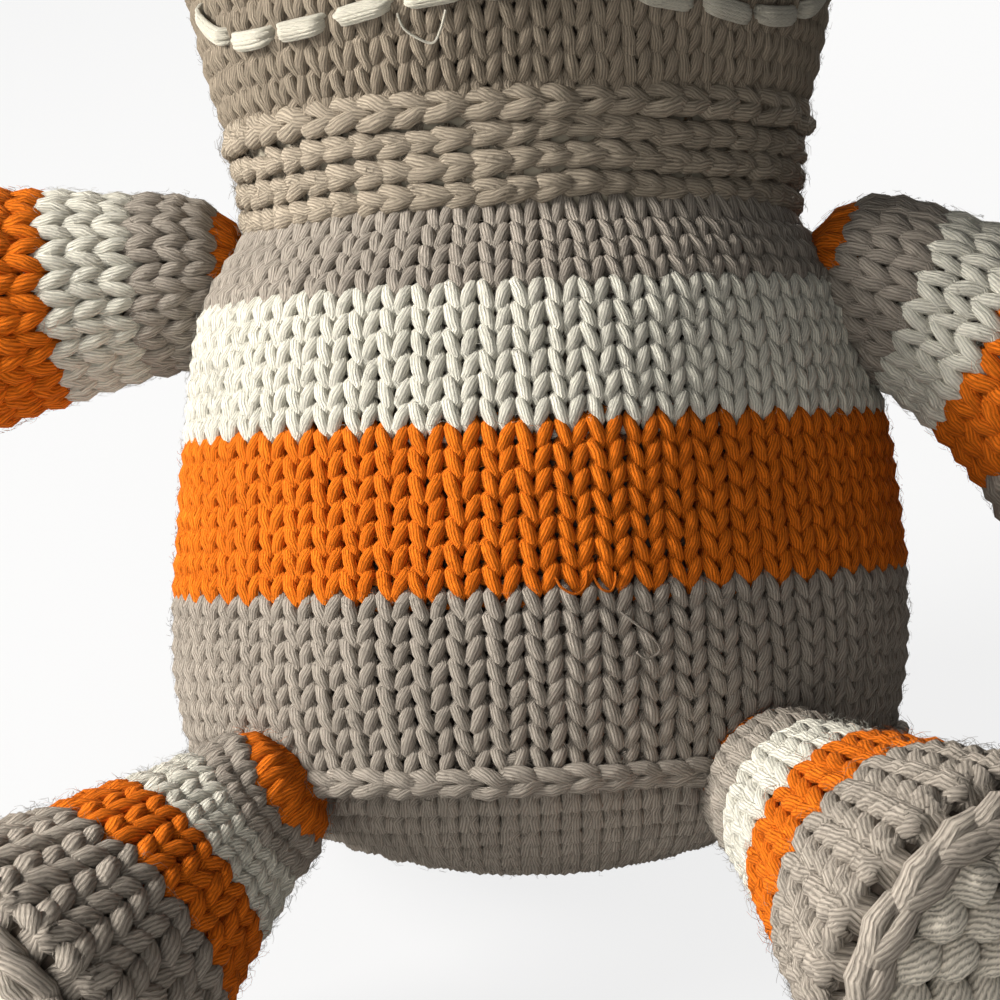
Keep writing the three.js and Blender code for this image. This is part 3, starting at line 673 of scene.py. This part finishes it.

# %% [markdown]
# ## Stuffed linings
#
# Under the yarn the bags are full of stuffing. Between the loops only a soft dark depth shows, so a closed skin just
# beneath the yarn, painted dark to stand for that shade, is enough. It keeps light from shining through the toy.

# %% Lining material and the torso's lining
LINING_DEPTH = 2.8
LINING_ROUND = 72
LINING_TOP = 80.5


def lining_material(name, colour):
    """Matted fill in a painted shade colour: a soft noise between a darker and a lighter tone, and a bump from the same
    noise.
    """
    flow, surface, material = new_material(name, Roughness=1.0)
    matted = flow.node("TexNoise", {"Vector": flow.node("TexCoord", output="Object"), "Scale": 900.0, "Detail": 3.0})
    tone = matted.mix(scaled(colour, 0.6), scaled(colour, 1.4))
    bump = flow.node("Bump", {"Height": matted, "Strength": 0.5, "Distance": 0.0005})
    flow.tree.links.new(tone.socket, surface.inputs["Base Color"])
    flow.tree.links.new(bump.socket, surface.inputs["Normal"])
    return material


# painted shade: the linings' colours are dark stand-ins for the shade between loops, the pale one lighter for the band
# and horns
painted_shade_lining = lining_material("lining_painted_shade", (0.095, 0.074, 0.058))
pale_painted_shade_lining = lining_material("lining_pale_painted_shade", (0.30, 0.27, 0.21))
lining_turns = np.linspace(0, 2 * np.pi, LINING_ROUND, endpoint=False)[None, :]


def stuffed(name, rings, material, *nodes):
    """A padded bag closed over rings of points."""
    bag = make(name, [shell(rings)], material)
    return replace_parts(bag, *nodes)


dome = np.linspace(0.01, base_reach - 0.02, 16)
sleeve = np.linspace(BASE_DEPTH + 2, LINING_TOP, 34)
lining_radius = np.concatenate([
    (base_sphere - LINING_DEPTH) * np.sin(dome),
    np.interp(sleeve, torso_line[:, 1], torso_line[:, 0]) - LINING_DEPTH,
])
lining_height = np.concatenate([base_sphere - (base_sphere - LINING_DEPTH) * np.cos(dome), sleeve])
rings = dimpled(on_ring(lining_turns, lining_radius[:, None], lining_height[:, None]), LINING_DEPTH)
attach(stuffed("torso_lining", rings, painted_shade_lining, "torso_stuffing"), "torso")

# %% [markdown]
# ## Neck band
#
# The band is knitted sideways, so its columns of Vs lie down and run round the neck. Its upper edge is cast off
# with a thicker chain. It hangs in loose folds in the photograph, and a slow wave round it gives those.

# %% Neck band
BAND_LOW, BAND_WALE, BAND_WALES = 80.9, 3.25, 3
BAND_COURSES, BAND_YARN = 58, 0.94
BAND_RADIUS, BAND_FLARE, BAND_SPAN = 35.0, 1.5, 3.8  # the flare is how much wider it is after its span of stitches
BAND_FIBRES, CORD_FIBRES = 3200, 700
CORD_COURSES, CORD_YARN = 52, 1.1
CORD_RADIUS, CORD_HEIGHT, CORD_THICK, CORD_FACING = 34.8, 92.7, 2.6, 0.1
NECK_LINING_RADII, NECK_LINING_HEIGHTS = (33.0, 34.6), (79.5, 94.0)


def band(across, up):
    """A flared strip: the radius grows with the height, bulges over each column, and waves slowly round the neck."""
    turn = -2 * np.pi * up / BAND_COURSES
    sag = 0.45 * np.sin(3 * turn + 1) + 0.25 * np.sin(7 * turn)
    bulge = 0.2 * np.cos(2 * np.pi * (across - 0.5))
    return on_ring(turn, BAND_RADIUS + BAND_FLARE * across / BAND_SPAN + bulge, BAND_LOW + BAND_WALE * across + sag)


cord_strip, cord = chain(CORD_COURSES, CORD_YARN, CORD_RADIUS, CORD_HEIGHT, CORD_THICK, CORD_FACING, seed=71)
neck_radius, neck_height = (np.linspace(*ends, 5)[:, None] for ends in (NECK_LINING_RADII, NECK_LINING_HEIGHTS))
rings = on_ring(lining_turns, neck_radius, neck_height)
bag = make("neck_lining", [shell(rings)], pale_painted_shade_lining)
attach(bag, "torso")
piece = make("neck_band_yarn", [
    knit(band, BAND_WALES, np.arange(BAND_COURSES), BAND_YARN, closed=False, loose=1.8, seed=70),
    cord,
    fuzz(band, BAND_WALES, (0, BAND_COURSES), BAND_FIBRES, 0.6, 0.7, seed=72),
    fuzz(cord_strip, 1, (0, CORD_COURSES), CORD_FIBRES, 0.5, 0.8, seed=73),
], yarns["band"])
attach(piece, "torso")
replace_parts(piece, "neck_band_knit")

# %% [markdown]
# ## Head
#
# The head is one sack. Its width, its front and its back each follow a line from neck to crown, so it can jut
# forward as a muzzle. Rows are counted by the distance up its side, and stitches are dropped towards the crown.

# %% Head
HEAD_FOOT = 94.0
HEAD_KNOTS = [  # half width, front, back, height
    (36.6, 36.6, 36.6, 0), (39.5, 44.0, 38.8, 11), (41.5, 53.0, 43.0, 28),
    (38.0, 42.0, 39.0, 52), (22.0, 22.0, 22.0, 69), (0.0, 0.0, 0.0, 74),
]
HEAD_ROW, HEAD_STITCH = 3.05, 3.6
HEAD_TUCK = 0.8  # how many rows start below the foot, behind the neck's edge
HEAD_GATHER = 1.4  # how fast the sack is gathered in below its foot
HEAD_PIECES, HEAD_FIBRES = 3, 270

head_shares = np.linspace(-0.08, 1, 649)  # from a little below the foot, where the lowest loops reach


def head(turn, share):
    """A sack: half width times sine, and front or back times cosine, whichever side the turn is on."""
    width, front, back, height = np.moveaxis(through(HEAD_KNOTS, np.maximum(share, 0)), -1, 0)
    below = np.minimum(share, 0)
    gather = 1 + HEAD_GATHER * below
    ahead = gather * np.cos(turn)
    level = HEAD_FOOT + height + HEAD_KNOTS[-1][3] * below
    return np.stack([gather * width * np.sin(turn), -ahead * np.where(ahead > 0, front, back), level], axis=-1)


side_line = head(np.full(len(head_shares), np.pi / 2), head_shares)
side_length = np.concatenate([[0], np.cumsum(np.linalg.norm(np.diff(side_line, axis=0), axis=1))])
side_length -= np.interp(0, head_shares, side_length)
head_rows = int(side_length[-1] / HEAD_ROW)


def head_share(height):
    """The share of the way up at which the head reaches a height above its foot."""
    return np.interp(height, side_line[:, 2] - HEAD_FOOT, head_shares)


def head_round(turn, row):
    """The head by turn and row: rows are even distances up its side."""
    return head(turn, np.interp(row * HEAD_ROW, side_length, head_shares))


head_parts = rounds(lambda turn, row: head_round(turn, row - HEAD_TUCK), head_rows + 1, HEAD_STITCH, seed=80)
head_knit = lambda across, up: head_round(2 * np.pi * across / WALES, up)
cuts = np.linspace(0, head_rows + 1, HEAD_PIECES + 1).astype(int)
for part, (low, high) in enumerate(zip(cuts[:-1], cuts[1:])):
    hairs = fuzz(head_knit, WALES, (low, high), HEAD_FIBRES * (high - low), 0.5, 0.6, seed=120 + part)
    piece = make(f"head_yarn_{part + 1}", [*head_parts[low:high], hairs], yarns["taupe"])
    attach(piece, "head")
    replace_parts(piece, "head_knit")

shares = np.linspace(0.01, 0.995, 40)[:, None]
rings, _ = lay(head, lining_turns, shares, np.array(-LINING_DEPTH), step=0.004)
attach(stuffed("head_lining", rings, painted_shade_lining, "head_stuffing"), "head")

# %% [markdown]
# ## Mouth
#
# The mouth is a row of running stitches in a thick cream thread. Each is a flat bundle of strands side by side that
# dives into the fabric at both ends. The row dips on both sides of its middle and rises at its corners.

# %% Mouth
MOUTH_STITCHES, MOUTH_LENGTH, MOUTH_PITCH = 11, 8.0, 9.6
MOUTH_HEIGHT, MOUTH_DIP, MOUTH_DIP_REACH, MOUTH_SMILE = 11.0, 2.8, 40.0, 6.0
MOUTH_ROUND = (39.5 + 44.0) / 2
STRANDS, STRAND_RADIUS = 6, 0.34
BUNDLE_HALF = 0.85
CUT_END = [  # along the mouth, above it and out of the head
    (-14.5, -1.2, 0.2), (-13.6, -2.8, 0.8), (-11.5, -4.2, 1.1),
    (-10.0, -4.6, 1.2), (-9.0, -3.4, 1.1), (-8.2, -1.6, 1.0),
]


def mouth(along, above):
    """A strip of the head: along the mouth's line, which sinks by a sine squared and rises by an eighth power."""
    dip = MOUTH_DIP * np.sin(np.pi / 2 * along / MOUTH_DIP_REACH) ** 2
    smile = MOUTH_SMILE * (along / (MOUTH_STITCHES * MOUTH_PITCH / 2)) ** 8
    return head(along / MOUTH_ROUND, head_share(MOUTH_HEIGHT - dip + smile + above))


rng = np.random.default_rng(130)
middles = (np.arange(MOUTH_STITCHES) - (MOUTH_STITCHES - 1) / 2) * MOUTH_PITCH
reach = np.linspace(-1, 1, 15)[None, None, :]
lanes = np.linspace(-1, 1, STRANDS)[None, :, None]
tilt = rng.normal(0, 0.05, (MOUTH_STITCHES, 1, 1))
along = middles[:, None, None] + reach * MOUTH_LENGTH / 2 * (1 + rng.normal(0, 0.04, (MOUTH_STITCHES, STRANDS, 1)))
gather = 1 - 0.35 * reach**4
above = lanes * BUNDLE_HALF * gather + tilt * reach * 4 + rng.normal(0, 0.05, (MOUTH_STITCHES, STRANDS, 1))
crest = 0.95 - 0.3 * lanes**2 - 2.6 * reach**8
flat = lambda values: np.broadcast_to(values, along.shape).reshape(MOUTH_STITCHES * STRANDS, -1)
centre, normal = lay(mouth, flat(along), flat(above), flat(crest))
piece = make("mouth_yarn", [
    tubes(centre, normal, STRAND_RADIUS * 1.1, STRAND_RADIUS, closed=False),
    loose_end(mouth, CUT_END),
], yarns["cream"])
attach(piece, "head")
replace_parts(piece, *[f"mouth_stitch_{i + 1}" for i in range(MOUTH_STITCHES)])

# %% [markdown]
# ## Horns
#
# Two cream horns stand on the muzzle. Each is a cone with a full side, knitted in rounds that lose stitches, and the
# front one curves upwards. A straight cone is bent by laying its axis on a circle.

# %% Horns
HORN_FULLNESS = 0.8
HORN_SUNK, HORN_LINING = 3.0, 1.9
HORN_ROW, HORN_STITCH = 2.5, 3.2
HORNS = {  # length, radius, height on the head, rise and bend
    "front_horn": (30.0, 9.5, 39.0, 40.0, 28.0),
    "rear_horn": (15.0, 6.5, 56.0, 56.0, 0.0),
}


def bent(local, length, bend):
    """Points along +Z laid on a circle that turns by the bend over the length, towards +X."""
    if bend == 0:
        return local
    curve = length / np.radians(bend)
    along, below = np.maximum(local[..., 2], 0), np.minimum(local[..., 2], 0)
    span = curve - local[..., 0]
    return np.stack([curve - span * np.cos(along / curve), local[..., 1], span * np.sin(along / curve) + below], -1)


for seed, (name, (length, radius, height, rise, bend)) in enumerate(HORNS.items()):
    root = head(np.array(0.0), head_share(height))
    horn_axes = frame_at(heading(0, rise), (0, 0, 1))

    def horn(turn, row, inset=0.0):
        """A cone: the radius is a cosine of the share of its length, to a power, less an inset."""
        along = row * HORN_ROW - HORN_SUNK
        share = np.clip(along / length, 0, 0.995)
        size = np.maximum(radius * np.cos(share * np.pi / 2) ** HORN_FULLNESS - inset, 0.05)
        return root + bent(on_ring(turn, size, np.minimum(along, length - inset)), length, bend) @ horn_axes

    count = int((length + HORN_SUNK) / HORN_ROW)
    hairs = fuzz(lambda a, b: horn(2 * np.pi * a / 12, b), 12, (0, count), 160, 0.6, 0.7, seed=150 + seed)
    piece = make(f"{name}_yarn", [*rounds(horn, count, HORN_STITCH, 140 + 20 * seed, least=4), hairs],
                 yarns["cream"])
    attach(piece, "head")
    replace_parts(piece, name)
    rows = np.linspace(0, count + 0.4, 16)[:, None]
    bag = make(f"{name}_lining", [shell(horn(lining_turns[:, ::4], rows, HORN_LINING))], pale_painted_shade_lining)
    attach(bag, "head")

# %% [markdown]
# ## Eyes
#
# Each eye is a black safety eye: a smooth shallow dome on a post, held by a washer inside the head. The dome needs
# many more facets than its CAD solid, because it shows a sharp reflection of the lamp.

# %% Eyes and washers
EYE_TURN, EYE_HEIGHT = 52.0, 46.0
EYE_RADIUS, EYE_SWELL, EYE_LIFT = 4.2, 3.0, 0.3
POST_RADIUS, POST_LENGTH = 1.3, 9.0

flow, surface, eye_paint = new_material("eye_plastic", Base_Color=(0.012, 0.010, 0.009, 1), Coat_Weight=0.2)
surface.inputs["Specular IOR Level"].default_value = 0.25
handled = flow.node("TexNoise", {"Vector": flow.node("TexCoord", output="Object"), "Scale": 700.0, "Detail": 3.0})
flow.tree.links.new((handled * 0.12 + 0.06).socket, surface.inputs["Roughness"])
flow, surface, washer_paint = new_material("washer_plastic", Base_Color=(0.80, 0.79, 0.76, 1))
moulded = flow.node("TexNoise", {"Vector": flow.node("TexCoord", output="Object"), "Scale": 400.0, "Detail": 2.0})
flow.tree.links.new((moulded * 0.2 + 0.4).socket, surface.inputs["Roughness"])

rise = np.linspace(0, np.pi / 2, 14)[:-1]
eye_radius = np.concatenate([[0.05, POST_RADIUS, POST_RADIUS], EYE_RADIUS * np.cos(rise), [0.02]])
eye_height = np.concatenate([[-POST_LENGTH, -POST_LENGTH, EYE_LIFT - 0.15], EYE_LIFT + EYE_SWELL * np.sin(rise),
                             [EYE_LIFT + EYE_SWELL]])
for name, turn in (("right_eye", -EYE_TURN), ("left_eye", EYE_TURN)):
    seat_point, seat_normal = lay(head, np.radians([turn]), head_share(np.array([EYE_HEIGHT])), np.zeros(1), 0.001)
    local = on_ring(lining_turns[:, ::2], eye_radius[:, None], eye_height[:, None])
    dome = seat_point[0] + local @ frame_at(seat_normal[0], (0, 0, 1))
    piece = make(f"{name}_dome", [shell(dome)], eye_paint)
    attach(piece, "head")
    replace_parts(piece, name)
    frame["nodes"][f"{name}_washer"].material_slots[0].material = washer_paint

# %% [markdown]
# ## Ears
#
# An ear is a flat leaf of double knitting on a rounded root. Its outline is the same curve on both sides, and the
# stitches run evenly across each face because the turn is made into a straight sweep from edge to edge.

# %% Ears
EAR_KNOTS = [(-5.5, 0), (-9.0, 11.0), (0.0, 23.0), (9.0, 11.0), (5.5, 0)]
EAR_LENGTH, EAR_THICKNESS, EAR_SINK = 23.0, 5.0, 1.4
EAR_HEIGHT, EAR_TURN, EAR_RISE = 62.0, 100.0, 48.0
EAR_ROW, EAR_STITCH, EAR_LINING = 2.6, 3.3, 1.7

ear_line = through(EAR_KNOTS, np.linspace(0, 0.5, 200))
for seed, (name, side) in enumerate((("right_ear", -1), ("left_ear", 1))):
    seat_point, seat_normal = lay(
        head, np.radians([side * EAR_TURN]), head_share(np.array([EAR_HEIGHT])), np.zeros(1), 0.001)
    root = seat_point[0] + seat_normal[0] * (EAR_THICKNESS / 2 - EAR_SINK)
    ear_axes = frame_at(heading(side * EAR_TURN, EAR_RISE), heading(side * (EAR_TURN - 90), 0))

    def ear(turn, row, inset=0.0):
        """A leaf: an even sweep from edge to edge across, and the root of a cosine through its thickness."""
        turn, along = np.broadcast_arrays(turn, row * EAR_ROW - EAR_SINK)
        half = np.maximum(np.interp(along, ear_line[:, 1], -ear_line[:, 0]) - inset, 0.1)
        thick = np.maximum(EAR_THICKNESS / 2 * (1 - 0.6 * np.clip(along / EAR_LENGTH, 0, 1) ** 3) - inset, 0.1)
        sweep = 2 / np.pi * np.arcsin(np.sin(turn))
        ahead = np.cos(turn)
        local = np.stack([half * sweep, -thick * np.sign(ahead) * np.sqrt(np.abs(ahead)), along], axis=-1)
        return root + local @ ear_axes

    count = int((EAR_LENGTH + EAR_SINK) / EAR_ROW)
    hairs = fuzz(lambda a, b: ear(2 * np.pi * a / 11, b), 11, (0, count), 200, 0.6, 0.8, seed=200 + seed)
    piece = make(f"{name}_yarn", [*rounds(ear, count, EAR_STITCH, 180 + 10 * seed, least=4), hairs],
                 yarns["taupe"])
    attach(piece, name)
    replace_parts(piece, name)
    rows = np.linspace(0, count - 0.2, 14)[:, None]
    bag = make(f"{name}_lining", [shell(ear(lining_turns[:, ::3] + 0.01, rows, EAR_LINING))], painted_shade_lining)
    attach(bag, name)

# %% [markdown]
# ## Limbs
#
# Arms and legs are stuffed tubes that widen from a round root to a flat sole. The knitting starts at the sole, so
# its Vs point away from the body.

# %% A limb's form
SOLE_RISE = 1.9  # from the end of the tube to the middle of the sole's rim
FOOT_TUCK = 2.6  # how far the end turns in to the rim


def limb_radius(form, along, inset=0.0):
    """A ball's side behind the joint, a radius that grows by a power of the length ahead of it, and a round end."""
    straight = form["length"] - FOOT_TUCK
    tube = form["root"] + (form["end"] - form["root"]) * np.clip(along / straight, 0, 1) ** form["flare"]
    tube = tube - FOOT_TUCK * (1 - np.sqrt(1 - np.clip((along - straight) / FOOT_TUCK, 0, 0.98) ** 2))
    root_ball = np.sqrt(np.maximum(form["root"] ** 2 - np.minimum(along, 0) ** 2, 0.01))
    return np.where(along < 0, root_ball, tube) - inset


def limb_place(name, local):
    """Points of a limb's own frame, bent with the limb and set on its root."""
    _, form, _, _, bend, towards = LIMBS[name]
    return limb_roots[name] + bent(local, form["length"], bend) @ frame_at(limb_ways[name], towards)


def limb_point(name, along):
    """A point on a limb's straight heading from its joint, in shared metres."""
    return tuple(to_world(limb_roots[name] + along * limb_ways[name]))


# %% [markdown]
# Stripes are listed from the sole up to the body. The wool is more felted on the legs, near the hips, so their fuzz
# is longer there.

# %% Arms and legs
ARM_STRIPES = [("grey", 5), ("orange", 3), ("white", 3), ("grey", 3), ("orange", 1)]
LEG_STRIPES = [("grey", 6), ("orange", 3), ("white", 3), ("grey", 2), ("orange", 2)]
GAUGES = {  # stitches round, stripes, where the root's last row lies, and how far the fuzz stands off
    "arm": (18, ARM_STRIPES, -11.2, 0.5),
    "leg": (20, LEG_STRIPES, -11.5, 1.0),
}
LIMB_FIBRES = 260
SEWN_ASKEW = {"right_leg": (6.0, -2.9), "left_leg": (3.0, 2.6)}  # how far, and towards which turn
BLEND_REACH = 12.0
ROOT_END = 0.4  # how near to the end of its ball a root's rows may come

for order, name in enumerate(("right_arm", "left_arm", "right_leg", "left_leg")):
    form = LIMBS[name][1]
    wales, stripes, first, stand = GAUGES[name[-3:]]
    total = sum(rows for _, rows in stripes)
    pitch = (form["length"] - first) / total

    def limb_knit(across, up):
        """The tube by stitches and rows, both counted backwards so that its outside stays outside."""
        turn = -2 * np.pi * across / wales
        far, where = SEWN_ASKEW.get(name, (0, 0))
        near_root = np.interp(up, [total / 2, total - 2, total], [0, 1, 0])
        along = form["length"] - up * pitch + far * near_root * np.maximum(np.cos(turn - where), 0) ** 2
        along = np.maximum(along, ROOT_END - form["root"])
        return limb_place(name, on_ring(turn, limb_radius(form, along), along))

    starts = np.cumsum([0] + [rows for _, rows in stripes])
    for colour in ("grey", "orange", "white"):
        patches = []
        for stripe, (dye, count) in enumerate(stripes):
            if dye == colour:
                rows = starts[stripe] + np.arange(count) + 0.5
                width = 2 * np.pi * limb_radius(form, form["length"] - rows * pitch) / wales
                size = np.clip(YARN_SHARE * width, 0.95, 1.5)[:, None]
                seed = 300 + 20 * order + stripe
                patches.append(knit(limb_knit, wales, rows, size, loose=1.3, seed=seed))
                span = (starts[stripe], starts[stripe + 1])
                patches.append(fuzz(limb_knit, wales, span, LIMB_FIBRES * count, 0.5, stand, seed=seed + 8))
        piece = make(f"{name}_{colour}_yarn", patches, yarns[colour])
        limb_point(name, first)
        limb_point(name, BLEND_REACH)
        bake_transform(piece)
        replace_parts(piece, f"{name}_knit")
    along = np.linspace(max(first, -8.0), form["length"], 24)[:, None]
    rings = limb_place(name, on_ring(lining_turns[:, ::2], limb_radius(form, along, LINING_DEPTH), along))
    bag = stuffed(f"{name}_lining", rings, painted_shade_lining, f"{name}_stuffing")
    limb_point(name, first)
    limb_point(name, BLEND_REACH)
    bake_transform(bag)

# %% [markdown]
# Each limb ends in a flat sole inside a thick rim. The rim is a chain of long, plump stitches. The sole is worked in
# thick rounds, and each of its stitches shows only as a plump bump, so a round is a tube that swells and narrows.

# %% Rims and soles
RIM_COURSES, RIM_YARN = 19, 1.45
RIM_INSET, RIM_THICK, RIM_FACING = FOOT_TUCK + 1.6, 2.9, 0.7
SOLE_RINGS, SOLE_PITCH, SOLE_BUMP = 3, 4.7, 5.0
SOLE_YARN, SOLE_SWELL = 2.7, 2.0

for order, name in enumerate(("right_arm", "left_arm", "right_leg", "left_leg")):
    form = LIMBS[name][1]
    level = form["length"] + SOLE_RISE
    _, rim = chain(RIM_COURSES, RIM_YARN, form["end"] - RIM_INSET, level, RIM_THICK, RIM_FACING, seed=400 + order)
    piece = make(f"{name}_rim_yarn", [(limb_place(name, rim[0]), rim[1])], yarns["grey"])
    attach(piece, name)
    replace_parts(piece, f"{name}_sole_rim")

    bumps = []
    rng = np.random.default_rng(420 + order)
    for ring in range(SOLE_RINGS):
        radius = form["end"] - FOOT_TUCK - 2 * RIM_YARN - SOLE_YARN - ring * SOLE_PITCH
        count = max(3, round(2 * np.pi * radius / SOLE_BUMP))
        turn = np.linspace(0, 2 * np.pi, count * SAMPLES, endpoint=False)[None, :]
        swell = np.abs(np.sin(count * turn / 2))
        sway = wobble(rng, 1, count * SAMPLES)
        height = level + 0.4 + SOLE_SWELL * (1 - (radius / form["end"]) ** 2) + 0.3 * swell
        local = on_ring(turn, radius + 0.25 * sway, height)
        ahead = np.broadcast_to([0.0, 0.0, 1.0], local.shape)
        wide, thick = SOLE_YARN * (0.62 + 0.38 * swell), SOLE_YARN * (0.5 + 0.4 * swell)
        bumps.append(tubes(local, ahead, wide, thick, closed=True))
    bumps = [(limb_place(name, points), faces) for points, faces in bumps]
    # the sole's colour carries painted light: it is raised for the light the soles catch
    piece = make(f"{name}_sole_yarn", bumps, yarns["sole"])
    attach(piece, name)
    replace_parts(piece, f"{name}_sole")

# %% [markdown]
# ## Tail
#
# The tail is a thin knitted cord of six stitches round, with a rounded tip.

# %% Tail
TAIL_WALES, TAIL_ROW, TAIL_YARN = 6, 3.0, 0.85
TAIL_LINING, TAIL_BLEND, TAIL_FIBRES = 1.7, 10.0, 220

tail_form = TAIL["length"]


def tail(turn, along, inset=0.0):
    """A cord whose radius falls evenly from root to tip, and closes there as a ball does."""
    straight = np.clip(along / (tail_form - TAIL["end"]), 0, 1)
    size = TAIL["root"] + (TAIL["end"] - TAIL["root"]) * straight
    past = np.clip((along - tail_form + TAIL["end"]) / TAIL["end"], 0, 0.98)
    size = np.maximum(size * np.sqrt(1 - past**2) - inset, 0.05)
    return limb_place("tail", on_ring(turn, size, along))


tail_knit = lambda across, up: tail(-2 * np.pi * across / TAIL_WALES, tail_form - up * TAIL_ROW)
tail_rows = int(tail_form / TAIL_ROW)
piece = make("tail_yarn", [
    knit(tail_knit, TAIL_WALES, np.arange(tail_rows) + 0.5, TAIL_YARN, seed=500),
    fuzz(tail_knit, TAIL_WALES, (0, tail_rows), TAIL_FIBRES, 0.6, 0.7, seed=501),
], yarns["grey"])
limb_point("tail", 0.0)
limb_point("tail", TAIL_BLEND)
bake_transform(piece)
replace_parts(piece, "tail")
rings = tail(lining_turns[:, ::4], np.linspace(-2, tail_form - 1.5, 16)[:, None], TAIL_LINING)
bag = make("tail_lining", [shell(rings)], painted_shade_lining)
limb_point("tail", 0.0)
limb_point("tail", TAIL_BLEND)
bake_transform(bag)
